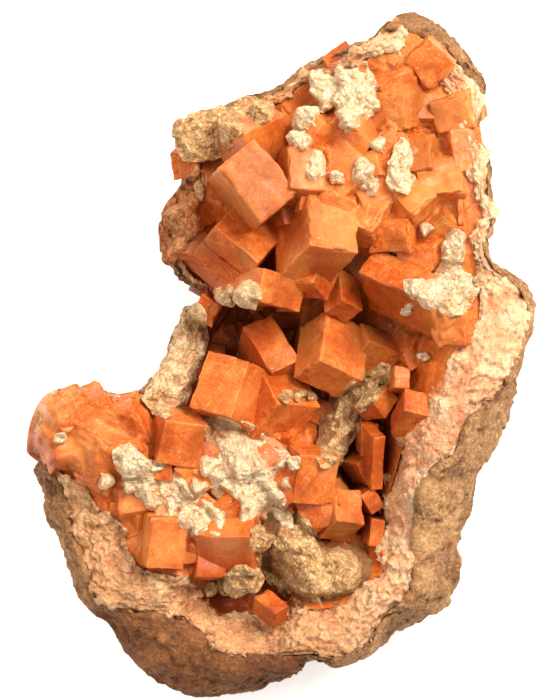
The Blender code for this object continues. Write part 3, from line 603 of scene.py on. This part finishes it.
def large_rhombs():
    """Near corner and three edges of each rhomb that was measured."""
    rows = []
    for corner, first, second, third, depth in LARGE_RHOMBS:
        corner = np.array(corner, float)
        edges = corner_edges(np.array([first, second, third], float) - corner[:2])
        if depth:
            edges[2] *= depth / np.linalg.norm(edges[2])
        rows.append(np.vstack([corner, edges]))
    return np.array(rows)


def turned(angle, axis):
    """Rotation by an angle about a unit axis, by Rodrigues' formula."""
    x, y, z = axis
    cross = np.array([[0, -z, y], [z, 0, -x], [-y, x, 0]])
    return np.eye(3) + math.sin(angle) * cross + (1 - math.cos(angle)) * cross @ cross


def leaning_rhomb(chance, x, y, top, edge, lean_range, low):
    """One rhomb with a seeded turn, lean and stretch, its middle low edges under top."""
    turn, toward = chance.uniform(0.0, 2 * math.pi, 2)
    lean = math.radians(chance.uniform(*lean_range))
    spin = turned(turn, (0.0, 0.0, 1.0))
    tip = turned(lean, (math.cos(toward), math.sin(toward), 0.0))
    edges = -edge * (tip @ spin).T * chance.uniform(*STRETCH, 3)[:, None]
    middle = np.array([x, y, top - low * edge])
    return np.vstack([middle - edges.sum(0) / 2, edges])


def lesser_rhombs():
    """The rhombs of the table whose turn and lean are seeded."""
    chance = np.random.default_rng(SEED)
    return np.array([leaning_rhomb(chance, *row, LEAN, MIDDLE_DEPTH) for row in LESSER_RHOMBS])


def small_rhombs():
    """Small rhombs scattered over the floor between the large ones."""
    chance = np.random.default_rng(SEED + 1)
    outline = Outline(900)
    rows = []
    for _ in range(SMALL_COUNT):
        i = chance.integers(outline.count)
        share = chance.uniform(0.0, 1.0) ** 0.8
        inside = outline.pale[i] - 0.5 + share * (outline.reach[i] - outline.pale[i])
        place = outline.edge[i] + outline.inward[i] * inside
        top = float(floor_height(place[None])[0]) + chance.uniform(-0.4, 0.6)
        edge = chance.uniform(*SMALL_EDGE)
        rows.append(leaning_rhomb(chance, *place, top, edge, SMALL_LEAN, 0.5))
    return np.array(rows)


def cube_surface(count):
    """Whole-number points on a cube's surface, and its quads, with shared corners."""
    points = np.stack(np.meshgrid(*[np.arange(count + 1)] * 3, indexing="ij"), -1).reshape(-1, 3)
    outside = ((points == 0) | (points == count)).any(1)
    number = np.full(len(points), -1)
    number[outside] = np.arange(outside.sum())
    number = number.reshape([count + 1] * 3)
    u, v = np.meshgrid(np.arange(count), np.arange(count), indexing="ij")
    quads = []
    for axis in range(3):
        for end in (0, count):
            def at(a, b):
                place = [a, b]
                place.insert(axis, np.full_like(a, end))
                return number[tuple(place)]
            face = np.stack([at(u, v), at(u + 1, v), at(u + 1, v + 1), at(u, v + 1)], -1)
            outward = (end == count) == (axis != 1)
            quads.append(face.reshape(-1, 4) if outward else face.reshape(-1, 4)[:, ::-1])
    return points[outside], np.vstack(quads)


def crystal_group(rhombs, count, rounding, relief, warp):
    """All rhombs of a group as one array of points, with their faces and marks.

    Each rhomb is a rounded box: a point of the cube is pulled to the box shrunk by the
    rounding, then pushed out by it along the pull. The points crowd at the edges so that
    the faces stay flat. Growth steps and chipped edges move points along the same push.
    Last, smooth noise in each direction bends the rhombs a little, by warp.
    """
    lattice, quads = cube_surface(count)
    corner, edges = rhombs[:, None, 0], rhombs[:, 1:]
    length = np.linalg.norm(edges, axis=2)
    along = edges / length[:, :, None]
    half = length[:, None, :] / 2
    bevel = np.minimum(rounding, 0.3 * half)
    index = np.broadcast_to(lattice[None], (len(rhombs), *lattice.shape))
    inner = (index - 1) / (count - 2) * 2 * (half - bevel) - (half - bevel)
    box = np.where(index == 0, -half, np.where(index == count, half, inner))
    core = np.clip(box, -(half - bevel), half - bevel)
    push = box - core
    push /= np.maximum(np.linalg.norm(push, axis=2, keepdims=True), 1e-9)
    local = core + bevel * push
    place = corner + np.einsum("nki,nij->nkj", local + half, along)
    out = np.einsum("nki,nij->nkj", push, along)
    key = np.arange(len(rhombs))[:, None, None]
    near_edge = np.sort(np.abs(box) / half, axis=2)[:, :, 1:2]
    steps = np.floor(2.5 * smooth_noise(local + 40.0 * key, 3.2, 3)) / 2.5
    waves = smooth_noise(local * np.array([1.0, 1.0, 3.0]) + 40.0 * key, 1.3, 5)
    at_edge = np.clip(near_edge[..., 0] - 0.86, 0, 1) / 0.14
    chips = np.clip(smooth_noise(place, 1.2, 9) - 0.1, 0, 1) * at_edge
    move = relief * (0.6 * steps + 0.4 * waves) - (4.0 * relief) * chips
    place = place + out * move[..., None]
    bend = [smooth_noise(place, 4.0, 80 + k) + 0.5 * smooth_noise(place, 1.5, 83 + k)
            for k in range(3)]
    place = place + warp * np.stack(bend, -1)
    side = np.argmax(np.abs(box) / half, axis=2)[..., None]
    side = np.concatenate([side, np.take_along_axis(box, side, 2) > 0, 0 * side], 2)
    tone = 0.6 * hashed(np.stack([key[..., 0]] * 3, -1), 31) + 0.4 * hashed(side + 7 * key, 32)
    faces = quads[None] + (np.arange(len(rhombs)) * len(lattice))[:, None, None]
    # Painted highlight: the edge mark lightens the rhombs along their edges.
    # Painted shade: crystals that stand low, in the hollows, are marked to be darkened.
    marks = {"tone": tone, "painted_edge_highlight": near_edge[..., 0], "painted_pit_shade": np.clip((17 - place[..., 2]) / 6, 0, 1),
             **crystal_tints(place)}
    return place.reshape(-1, 3), [faces.reshape(-1, 4)], marks


def top_of_rhombs(flat, rhombs):
    """Highest point of any rhomb over each (x, y), by the slab rule in each rhomb's frame."""
    best = np.full(len(flat), -np.inf)
    point = np.column_stack([flat, np.zeros(len(flat))])
    for corner, *edges in rhombs:
        inverse = np.linalg.inv(np.array(edges).T)
        start = (point - corner) @ inverse.T
        rise = inverse @ np.array([0.0, 0.0, 1.0])
        rise = np.where(np.abs(rise) < 1e-9, 1e-9, rise)
        ends = np.stack([-start / rise, (1 - start) / rise])
        low, high = ends.min(0).max(1), ends.max(0).min(1)
        best = np.where(high > low, np.maximum(best, high), best)
    return best


def crystal_top(flat, rhombs, floor, blur):
    """Height of the crystal surface over a floor, averaged over places round each point."""
    turns = np.linspace(0, 2 * math.pi, 6, endpoint=False)
    shifts = np.vstack([[0, 0], blur * np.column_stack([np.cos(turns), np.sin(turns)])])
    return np.mean([np.maximum(top_of_rhombs(flat + s, rhombs), floor) for s in shifts], axis=0)


def fused_height(flat):
    """The floor with the lesser rhombs grown into it: their tops, softened and sunk a little."""
    points = flat.reshape(-1, 2)
    floor = floor_height(points)
    drape = crystal_top(points, lesser_rhombs(), floor - 0.4, 0.9) - 0.15
    return np.maximum(floor, drape).reshape(flat.shape[:-1])


# Materials

def linear(red, green, blue):
    """Linear colour from screen values 0 to 255."""
    screen = np.array([red, green, blue]) / 255.0
    return (*np.where(screen < 0.04045, screen / 12.92, ((screen + 0.055) / 1.055) ** 2.4), 1.0)


class Shader:
    """Small helper that builds one material's nodes."""

    def __init__(self, name):
        self.material = bpy.data.materials.new(name)
        self.material.use_nodes = True
        self.tree = self.material.node_tree
        self.main = self.tree.nodes["Principled BSDF"]
        self.place = self.tree.nodes.new("ShaderNodeTexCoord").outputs["Object"]

    def join(self, output, target):
        self.tree.links.new(output, target)

    def set(self, **values):
        """Sets the shader's own sockets; an underscore stands for a space."""
        for name, value in values.items():
            self.main.inputs[name.replace("_", " ")].default_value = value

    def noise(self, size, detail=6.0, rough=0.55, warp=0.0):
        """Noise whose blobs are about size mm across."""
        node = self.tree.nodes.new("ShaderNodeTexNoise")
        node.inputs["Scale"].default_value = 1.0 / (size * MM)
        node.inputs["Detail"].default_value = detail
        node.inputs["Roughness"].default_value = rough
        node.inputs["Distortion"].default_value = warp
        self.join(self.place, node.inputs["Vector"])
        return node.outputs["Fac"]

    def cells(self, size, feature="F1"):
        """Cells about size mm across."""
        node = self.tree.nodes.new("ShaderNodeTexVoronoi")
        node.feature = feature
        node.inputs["Scale"].default_value = 1.0 / (size * MM)
        self.join(self.place, node.inputs["Vector"])
        return node.outputs["Distance"]

    def mark(self, name):
        """A per-point number of the mesh."""
        node = self.tree.nodes.new("ShaderNodeAttribute")
        node.attribute_name = name
        return node.outputs["Fac"]

    def ramp(self, value, *stops):
        """Colours, as screen values, at places along a value."""
        node = self.tree.nodes.new("ShaderNodeValToRGB")
        while len(node.color_ramp.elements) < len(stops):
            node.color_ramp.elements.new(0.5)
        for element, (place, *colour) in zip(node.color_ramp.elements, stops):
            element.position = place
            element.color = linear(*colour)
        self.join(value, node.inputs["Fac"])
        return node.outputs["Color"]

    def spread(self, value, low, high, new_low=0.0, new_high=1.0):
        """A value moved from one range to another, clamped."""
        node = self.tree.nodes.new("ShaderNodeMapRange")
        for name, number in (("From Min", low), ("From Max", high),
                             ("To Min", new_low), ("To Max", new_high)):
            node.inputs[name].default_value = number
        self.join(value, node.inputs["Value"])
        return node.outputs["Result"]

    def mix(self, factor, first, second, kind="MIX"):
        """Two colours mixed by a factor; either may be a colour or an output."""
        node = self.tree.nodes.new("ShaderNodeMix")
        node.data_type = "RGBA"
        node.blend_type = kind
        for number, value in ((0, factor), (6, first), (7, second)):
            if isinstance(value, (float, tuple)):
                node.inputs[number].default_value = value
            else:
                self.join(value, node.inputs[number])
        return node.outputs[2]

    def bump(self, value, height, strength=1.0, below=None):
        """A bump of a height in mm, on top of another bump."""
        node = self.tree.nodes.new("ShaderNodeBump")
        node.inputs["Distance"].default_value = height * MM
        node.inputs["Strength"].default_value = strength
        self.join(value, node.inputs["Height"])
        if below is not None:
            self.join(below, node.inputs["Normal"])
        return node.outputs["Normal"]

    def finish(self, colour, normal, roughness=None):
        self.join(colour, self.main.inputs["Base Color"])
        self.join(normal, self.main.inputs["Normal"])
        if roughness is not None:
            self.join(roughness, self.main.inputs["Roughness"])
        return self.material


def basalt_material():
    """Weathered brown basalt: soft stains, dark and pale grains, a gritty surface."""
    s = Shader("basalt")
    stains = s.ramp(s.noise(9.0, 8.0, 0.6, 0.6), (0.30, 110, 74, 46), (0.46, 158, 112, 72),
                    (0.58, 192, 144, 98), (0.72, 216, 172, 122))
    grains = s.ramp(s.noise(0.55, 3.0, 0.7), (0.36, 74, 44, 26), (0.5, 166, 120, 78),
                    (0.66, 238, 200, 150))
    colour = s.mix(0.38, stains, grains)
    rust = s.spread(s.noise(4.0, 4.0), 0.58, 0.72, 0.0, 0.6)
    colour = s.mix(rust, colour, linear(164, 96, 48))
    colour = s.mix(s.mark("dark"), colour, (0.56, 0.40, 0.30, 1.0), "MULTIPLY")
    low = s.bump(s.noise(0.9, 8.0, 0.7), 0.5, 0.9)
    s.set(Roughness=0.92)
    return s.finish(colour, s.bump(s.cells(0.42), 0.14, 0.6, low))


def rim_material():
    """Pale zeolite: cream, pink and orange blotches, sugary grains, tan at the lower left."""
    s = Shader("pale_zeolite")
    blotch = s.ramp(s.noise(4.5, 9.0, 0.62, 0.9), (0.33, 234, 132, 72), (0.43, 248, 176, 126),
                    (0.51, 255, 214, 166), (0.63, 255, 240, 204))
    lower = s.ramp(s.noise(3.0, 9.0, 0.68, 0.5), (0.34, 178, 96, 46), (0.46, 212, 148, 88),
                   (0.62, 240, 194, 136))
    colour = s.mix(s.mark("tan"), blotch, lower)
    grains = s.ramp(s.noise(0.5, 4.0, 0.7), (0.38, 206, 122, 74), (0.5, 246, 196, 150),
                    (0.62, 255, 240, 214))
    colour = s.mix(0.35, colour, grains)
    # Painted shade: darker orange where the rim's surface sinks between its blocks and grains.
    painted_hollow_shade = s.spread(s.mark("painted_hollow_shade"), 0.2, 1.0, 0.0, 0.5)
    colour = s.mix(painted_hollow_shade, colour, linear(186, 98, 46))
    s.set(Subsurface_Weight=0.15, Subsurface_Radius=(1.0, 0.45, 0.25), Subsurface_Scale=0.7 * MM,
          Roughness=0.6)
    low = s.bump(s.noise(0.7, 8.0, 0.74), 0.45, 1.0)
    return s.finish(colour, s.bump(s.cells(0.4), 0.16, 0.8, low))


def chabazite_material():
    """Orange chabazite: cloudy, with dark-orange and golden zones, veils, pale specks painted as
    glints, a painted highlight along the edges, tints partly of painted light, shade and sheen, and
    painted shade low in the hollows.
    """
    s = Shader("chabazite")
    zones = s.ramp(s.noise(8.0, 3.0, 0.5, 1.2), (0.34, 158, 58, 8), (0.45, 194, 84, 22),
                   (0.56, 216, 110, 38), (0.68, 232, 146, 68))
    clouds = s.ramp(s.noise(2.4, 9.0, 0.66, 1.4), (0.36, 160, 58, 8), (0.47, 200, 92, 28),
                    (0.56, 224, 128, 56), (0.68, 244, 180, 108))
    colour = s.mix(0.55, zones, clouds)
    tone = s.ramp(s.mark("tone"), (0.0, 152, 54, 8), (0.35, 194, 86, 26),
                  (0.7, 212, 112, 44), (1.0, 220, 138, 84))
    colour = s.mix(0.32, colour, tone)
    veil = s.spread(s.noise(1.1, 10.0, 0.76, 1.6), 0.48, 0.70, 0.0, 0.55)
    colour = s.mix(veil, colour, linear(234, 156, 86))
    cracks = s.spread(s.noise(0.8, 8.0, 0.7, 2.5), 0.34, 0.46, 0.5, 0.0)
    colour = s.mix(cracks, colour, linear(146, 48, 4))
    # Painted glints: tiny pale specks stand in for sparkles of light on the faces.
    glint_flecks = s.spread(s.noise(0.28, 3.0, 0.6), 0.62, 0.70, 0.0, 0.8)
    colour = s.mix(glint_flecks, colour, linear(252, 208, 148))
    # Painted highlight: lighter golden orange along the rhombs' edges.
    edge_highlight_share = s.spread(s.mark("painted_edge_highlight"), 0.97, 1.0, 0.0, 0.35)
    colour = s.mix(edge_highlight_share, colour, linear(244, 178, 110))
    # Tints: the dark red-brown is partly painted shade, the pale partly painted light on lit faces, the
    # smoke-brown partly a painted sheen.
    for tint, strength, shade in (
        ("deep_and_shade", 0.55, linear(152, 50, 6)), ("pale", 0.30, linear(236, 164, 96)),
        ("smoky_and_sheen", 0.5, linear(152, 96, 46)),
    ):
        colour = s.mix(s.spread(s.mark(tint), 0.0, 1.0, 0.0, strength), colour, shade)
    # Painted shade: dark red-brown where the surface stands low in the hollows.
    painted_pit_shade = s.spread(s.mark("painted_pit_shade"), 0.0, 1.0, 0.0, 0.8)
    colour = s.mix(painted_pit_shade, colour, linear(98, 32, 6))
    s.set(Subsurface_Weight=0.25, Subsurface_Radius=(1.0, 0.38, 0.10), Subsurface_Scale=1.3 * MM,
          IOR=1.48, Specular_IOR_Level=0.3)
    rough = s.spread(s.noise(1.4, 5.0), 0.35, 0.65, 0.28, 0.52)
    low = s.bump(s.noise(0.7, 8.0, 0.7), 0.06, 0.8)
    return s.finish(colour, s.bump(s.noise(0.25, 3.0), 0.04, 0.7, low), rough)


def cream_material(name, light, mid, dark):
    """Crumbly cream mineral: matt, with painted shade in its hollows and along its cracks, a gritty
    surface.
    """
    s = Shader(name)
    colour = s.ramp(s.noise(1.3, 7.0, 0.7), (0.32, *dark), (0.46, *mid), (0.60, *light))
    # Painted shade: the dark colour where the crust sinks between its knobs.
    painted_hollow_shade = s.spread(s.mark("painted_hollow_shade"), 0.25, 1.0, 0.0, 0.85)
    colour = s.mix(painted_hollow_shade, colour, linear(*dark))
    # Painted shade: dark lines along the cell edges, where the bump below cuts grooves.
    painted_crackle_shade = s.spread(s.cells(0.9, "DISTANCE_TO_EDGE"), 0.0, 0.14, 0.55, 0.0)
    colour = s.mix(painted_crackle_shade, colour, linear(*dark))
    grain = s.spread(s.noise(0.22, 3.0, 0.6), 0.38, 0.58)
    grit = s.mix(grain, (0.66, 0.52, 0.36, 1.0), (1.0, 1.0, 1.0, 1.0))
    colour = s.mix(0.5, colour, grit, "MULTIPLY")
    s.set(Roughness=0.9, Subsurface_Weight=0.1, Subsurface_Scale=0.6 * MM)
    low = s.bump(s.noise(0.45, 7.0, 0.75), 0.3, 1.0)
    low = s.bump(s.cells(0.9, "DISTANCE_TO_EDGE"), 0.5, 0.8, low)
    return s.finish(colour, s.bump(s.cells(0.28), 0.1, 0.7, low))


# Pieces

def add_basalt(material):
    """The rock, as rings from under the middle, out round the side and in over the top.

    Under side: distance UNDER_CURVE * (1 - cos a), height waist * (1 - sin a), a from 90
    to 0 degrees. Upper side: distance bare * (1 - cos a), height waist + (crest - waist)
    * sin a. The top then sinks by the layer's thickness. Lumps, broken faces and grit
    move each point along the normal, less and less towards the flat base.
    """
    o = Outline(ROCK_ROUND)
    base_share = np.linspace(0.96, 0.0, 14)[:, None]
    base = o.rings(UNDER_CURVE + base_share * (o.reach - UNDER_CURVE), 0.0)
    turn = np.radians(np.linspace(86, 2, 26))[:, None]
    drawn = LOBE_DRAWN * o.lobe
    inside = UNDER_CURVE * (1 - np.cos(turn)) + drawn * np.cos(turn)
    under = o.rings(inside, o.waist * (1 - np.sin(turn)))
    crest = o.ground_rings(o.bare[None], 0.0)[0, :, 2] - LOBE_SINK * o.lobe
    turn = np.radians(np.linspace(2, 90, 44))[:, None]
    side = o.rings(drawn + o.bare * (1 - np.cos(turn)), o.waist + (crest - o.waist) * np.sin(turn))
    inside = drawn + o.bare + np.linspace(0.3, 2.4, 8)[:, None]
    sink = LAYER * np.linspace(0.25, 1.0, 8)[:, None] + LOBE_SINK * o.lobe
    lip = o.ground_rings(inside, -sink)
    share = np.linspace(0.08, 0.96, 12)[:, None]
    bed = o.ground_rings(inside[-1] + share * (o.reach - inside[-1]), -LAYER - LOBE_SINK * o.lobe)
    grid = np.concatenate([base, under, side, lip, bed])
    normal = surface_normals(grid)
    lumps = 1.0 * cloudy(grid, 9.0, 2, 40) + 0.75 * broken(grid, 4.2, 41) + 0.4 * broken(grid, 1.7, 42)
    grit = 0.22 * cloudy(grid, 0.9, 3, 43)
    lumps = np.minimum(lumps * np.clip(0.35 + 0.3 * o.bare, 0.5, 1.0), 0.6)
    swell = 0.9 * np.clip((o.bare - 0.9) / 1.5, 0, 1) - 0.35
    free = np.clip(grid[..., 2] / 5.0, 0.0, 1.0)
    seen = len(base) + len(under) + len(side)
    outward = np.where(np.arange(len(grid))[:, None] < seen, 1.0, 0.3)
    grid = grid - normal * ((lumps + grit + swell) * free * outward)[..., None]
    low = np.column_stack([o.middle, np.zeros(len(o.middle))])
    high = np.column_stack([o.middle, ground(o.middle) - LAYER])
    points, faces = closed_body(o, grid, low, high)
    points[:, 2] = np.maximum(points[:, 2], 0.0)
    x, y = points[:, 0], points[:, 1]
    low_left = np.clip((14 - x) / 14, 0, 1) * np.clip((-32 - y) / 8, 0, 1)
    top_or_left = np.maximum(np.clip((y - 20) / 10, 0, 1), np.clip((-24 - x) / 8, 0, 1))
    dark = np.maximum(low_left, 0.45 * top_or_left)
    add_piece("basalt", points, faces, material, ["basalt_matrix"], {"dark": dark})


def add_rim(material):
    """The pale rim: a hoop whose top is broken into sugary blocks.

    The top starts over the rock's crest, a little under its surface, and runs to the
    inner edge over the ground, bulging by 0.9 * sin(pi * s); below it the band closes
    under the surface.
    """
    o = Outline(RIM_ROUND)
    wave = 0.7 * smooth_noise(np.column_stack([o.edge, np.zeros(o.count)]), 2.4, 50)
    outer = o.bare - 0.5 + 0.6 * wave
    inner = o.pale + 0.6 + 1.0 * wave
    s = np.linspace(0.0, 1.0, 60)[:, None]
    rise = 1.1 * np.clip(s * (inner - outer) / 1.0, 0, 1) - 0.9 - 2.5 * o.lobe
    top = o.ground_rings(outer + s * (inner - outer), RIM_LIFT + rise + 0.8 * np.sin(math.pi * s))
    under = o.ground_rings(outer + 0.8 + s[::-13] * (inner - outer - 0.8), -2.4)
    grid = np.concatenate([top, under])
    normal = surface_normals(grid, closed_rows=True)
    facets = corner_field(grid[..., :2], 2.6, 51) + 0.5 * corner_field(grid[..., :2], 1.0, 52)
    blocks = 0.4 * (facets - 2.2) + 0.45 * broken(grid, 1.4, 55) + 0.55 * cloudy(grid, 4.5, 2, 53)
    grains = 0.35 * knobbly(grid, 0.8, 56) + 0.25 * cloudy(grid, 0.6, 2, 54)
    seen = np.where(np.arange(len(grid))[:, None] < len(top), 1.0, 0.0)
    up = np.sign(normal[len(top) // 2, :, 2].mean())
    grid = grid + normal * up * ((np.clip(blocks, -0.9, 1.2) + grains - 0.2) * seen)[..., None]
    # Painted shade: the mark grows where the blocks and grains sink in.
    painted_hollow_shade = np.clip(0.15 - 0.6 * blocks - 0.5 * (grains - 0.2), 0, 1) * seen
    tan = np.clip((20 - grid[..., 0]) / 14, 0, 1)
    add_piece("pale_rim", grid.reshape(-1, 3), [ring_faces(len(grid), o.count, hoop=True)], material,
              ["pale_zeolite_rim"], {"painted_hollow_shade": painted_hollow_shade, "tan": tan})


def add_floor(material):
    """The floor under the rhombs: the ground, broken into crystal-like blocks.

    At the lobe it reaches over the rock's edge and rolls down by 4 * (1 - d / 2.2)^2 at a
    distance d from its own edge.
    """
    o = Outline(FLOOR_ROUND)
    inner = np.linspace(0.97, 0.0, 8)[:, None]
    edge = o.pale - 0.5 - (o.pale + 0.1) * o.lobe
    under = o.ground_rings(edge + inner * (o.reach - edge), -2.6 - 2.4 * o.lobe)
    s = np.linspace(0.0, 0.97, 110)[:, None]
    top = o.ground_rings(edge + s * (o.reach - edge), 0.0)
    level = top[..., 2]
    fused = fused_height(top[..., :2])
    facets = 0.5 * corner_field(top[..., :2], 3.4, 68) - 1.0 + 0.35 * broken(top, 1.9, 69)
    fused = fused + np.clip(facets, -1.0, 1.3) + 0.12 * broken(top, 0.9, 64)
    roll = 4.0 * o.lobe * np.clip(1 - s * (o.reach - edge) / 2.2, 0, 1) ** 2
    top[..., 2] = level + (fused - level) * np.clip((6 + 30 * o.lobe) * s, 0, 1) - roll
    grid = np.concatenate([under, top])
    low = np.column_stack([o.middle, ground(o.middle) - 2.6])
    high = np.column_stack([o.middle, fused_height(o.middle)])
    points, faces = closed_body(o, grid, low, high)
    _, owner = nearest_seed(top, 4.0, 66)
    # Painted shade: the floor is marked to darken where it lies low.
    marks = {"tone": 0.15 + 0.7 * hashed(owner, 67), "painted_pit_shade": np.clip((18 - top[..., 2]) / 6, 0, 1)}
    for key, values in marks.items():
        marks[key] = np.concatenate([np.zeros(under.size // 3), values.ravel(), np.zeros(2 * len(low))])
    add_piece("druse_floor", points, faces, material, ["chabazite_druse"],
              {**marks, **crystal_tints(points), "painted_edge_highlight": np.zeros(len(points))})


def add_crystals(material):
    """The three sizes of rhomb, each one piece. Lesser rhombs sink, most at the lobe."""
    lesser = lesser_rhombs()
    middle = lesser[:, 0, :2] + lesser[:, 1:, :2].sum(1) / 2
    lesser[:, 0, 2] -= np.where((middle[:, 0] < -20) & (middle[:, 1] < 0), 1.1, 0.3)
    for name, rhombs, count, relief, warp in (
        ("large_rhombs", large_rhombs(), LARGE_GRID, 0.12, 0.14),
        ("lesser_rhombs", lesser, LESSER_GRID, 0.26, 0.42),
        ("small_rhombs", small_rhombs(), SMALL_GRID, 0.0, 0.4),
    ):
        points, faces, marks = crystal_group(rhombs, count, EDGE_ROUNDING, relief, warp)
        add_piece(name, points, faces, material, ["chabazite_druse"], marks)


def crust_patch(points, height, rhombs, around, rings, seed, spill=1.3, foot_depth=1.0, drop=4.5):
    """A crumbly blanket over the crystals, whose ragged edge dives under their surface.

    Rings run from past the outline, share spill, to the middle. At share s the cover is
    2.4 * (1 - s) + noise; the blanket's thickness follows it from below the surface to a
    full layer, plus knobs, broken planes and grit. A dome of the given height may fill
    up the middle. The blanket hangs no further than drop under its highest fifth.
    """
    edge = closed_curve(points, around)[:, :2]
    middle = edge.mean(0)
    s = np.linspace(spill, 0.0, rings + 1)[:-1, None]
    flat = middle + (edge - middle) * s[..., None]
    spot = np.concatenate([flat, np.zeros((*flat.shape[:-1], 1))], -1)
    flat = flat + 0.3 * np.stack([smooth_noise(spot, 0.9, seed), smooth_noise(spot, 0.9, seed + 1)], -1)
    points = flat.reshape(-1, 2)
    below = crystal_top(points, rhombs, fused_height(points), 0.35).reshape(flat.shape[:2])
    hung = np.percentile(below, 80) - drop
    below = np.maximum(below, hung)
    cover = 2.4 * (1 - s) + 0.9 * smooth_noise(spot, 2.6, seed + 2)
    cover = cover + 0.7 * smooth_noise(spot, 1.1, seed + 3)
    thick = 1.3 * np.clip(cover + 0.35, -0.6, 0.9)
    top = below + thick
    if height:
        dome = np.interp(s[:, 0], DOME_SHARES, DOME_HEIGHTS)[:, None]
        dome = dome + 1.1 * smooth_noise(spot, 3.6, seed + 7) + 0.6 * smooth_noise(spot, 1.8, seed + 8)
        top = np.maximum(top, ground(flat) + height + dome - PILE_SINK)
    spot = np.concatenate([flat, top[..., None]], -1)
    knobs = (0.5 * knobbly(spot, 1.0, seed + 4) + 0.3 * knobbly(spot, 0.55, seed + 5)
             + 0.6 * cloudy(spot, 2.2, 3, seed + 6))
    spot[..., 2] += (knobs - 0.4) * np.clip(cover + 0.9, 0.15, 1.0)
    foot = np.maximum(ground(flat[0]) - foot_depth, hung - 1.0)
    skirt = np.concatenate([flat[0], foot[:, None]], -1)[None]
    grid = np.concatenate([skirt, spot])
    body = np.vstack([grid.reshape(-1, 3), [*middle, foot.mean()], spot[-1].mean(0)])
    start = grid.shape[0] * grid.shape[1]
    none = np.zeros(around, int)
    faces = [ring_faces(len(grid), around), cap_faces(0, around, start, none)[:, ::-1],
             cap_faces(start - around, around, start + 1, none)]
    # Painted shade: the mark is full on the skirt and grows between the knobs.
    painted_hollow_shade = np.concatenate([np.ones(around), np.clip(0.75 - 0.9 * knobs, 0, 1).ravel(), [1.0, 0.3]])
    return body, faces, painted_hollow_shade


def round_outline(x, y, reach, seed):
    """An uneven round outline of a crumb: radius reach * (1 + 0.35 * noise)."""
    turn = np.linspace(0, 2 * math.pi, 9, endpoint=False)
    ring = np.column_stack([x + np.cos(turn), y + np.sin(turn), np.zeros(9)])
    swell = reach * (1 + 0.35 * smooth_noise(ring, 0.7, seed))
    return np.column_stack([x + swell * np.cos(turn), y + swell * np.sin(turn)])


def add_cream(looks, rhombs):
    """Each cream patch, with the crumbs beside it, which go with the nearest patch."""
    middles = np.array([np.mean(points, 0) for _, _, points in CREAM])
    owner = [int(np.linalg.norm(middles - (x, y), axis=1).argmin()) for x, y, _ in CRUMBS]
    for number, (node, height, points) in enumerate(CREAM):
        dome = height if node in PILED_UP else 0.0
        spill, foot = (1.07, 3.0) if node in AT_THE_EDGE else (1.3, 1.0)
        parts = [crust_patch(points, dome, rhombs, 210, 60, 100 + number, spill, foot)]
        for (x, y, reach), patch in zip(CRUMBS, owner):
            if patch == number:
                small = round_outline(x, y, reach, number)
                parts.append(crust_patch(small, 0.0, rhombs, 60, 16, 130 + number, drop=0.9))
        body, faces, painted_hollow_shade = np.zeros((0, 3)), [], np.zeros(0)
        for more, more_faces, more_hollow_shade in parts:
            faces += [part + len(body) for part in more_faces]
            body = np.vstack([body, more])
            painted_hollow_shade = np.concatenate([painted_hollow_shade, more_hollow_shade])
        look = looks[CREAM_FINISH.get(node, "bright")]
        add_piece(node.replace("crust", "patch"), body, faces, look, [node],
                  {"painted_hollow_shade": painted_hollow_shade})


# Floor, light and view

def add_stage():
    """A white table top."""
    mesh = bpy.data.meshes.new("table")
    corners = [(x * TABLE_HALF, y * TABLE_HALF, 0) for x, y in ((-1, -1), (1, -1), (1, 1), (-1, 1))]
    mesh.from_pydata(corners, [], [(0, 1, 2, 3)])
    s = Shader("table")
    s.set(Base_Color=(0.95, 0.95, 0.94, 1.0), Emission_Color=(1.0, 1.0, 1.0, 1.0),
          Emission_Strength=0.55, Roughness=0.9)
    mesh.materials.append(s.material)
    table = bpy.data.objects.new("table", mesh)
    table.location.z = -TABLE_DROP
    bpy.context.scene.collection.objects.link(table)


def add_lamp(name, place, size, power, colour):
    """A square soft lamp that faces the specimen."""
    data = bpy.data.lights.new(name, "AREA")
    data.size = size
    data.energy = power
    data.color = colour
    lamp = bpy.data.objects.new(name, data)
    lamp.location = place
    aim = -lamp.location
    lamp.rotation_euler = aim.to_track_quat("-Z", "Y").to_euler()
    bpy.context.scene.collection.objects.link(lamp)


def add_light():
    """The lamps, and the even light of the room."""
    for row in LAMPS:
        add_lamp(*row)
    world = bpy.data.worlds.new("room")
    world.use_nodes = True
    sky = world.node_tree.nodes["Background"]
    sky.inputs["Color"].default_value = ROOM_COLOUR
    sky.inputs["Strength"].default_value = ROOM_STRENGTH
    bpy.context.scene.world = world
    bpy.context.scene.view_settings.view_transform = "Standard"


def add_camera():
    """Straight down on the specimen, with the photograph's height in view."""
    data = bpy.data.cameras.new("camera")
    data.sensor_width = 36.0
    data.lens = data.sensor_width * (EYE_DISTANCE - VIEW_PLANE) / VIEW_HEIGHT
    data.clip_end = 10.0
    camera = bpy.data.objects.new("camera", data)
    camera.location = (VIEW_MIDDLE[0] * MM, VIEW_MIDDLE[1] * MM, EYE_DISTANCE * MM)
    bpy.context.scene.collection.objects.link(camera)
    bpy.context.scene.camera = camera


def main():
    chabazite = chabazite_material()
    looks = {finish: cream_material(*row) for finish, row in CREAM_LOOKS.items()}
    add_basalt(basalt_material())
    add_rim(rim_material())
    add_floor(chabazite)
    add_crystals(chabazite)
    add_cream(looks, np.concatenate([large_rhombs(), lesser_rhombs()]))
    add_stage()
    add_light()
    add_camera()


main()
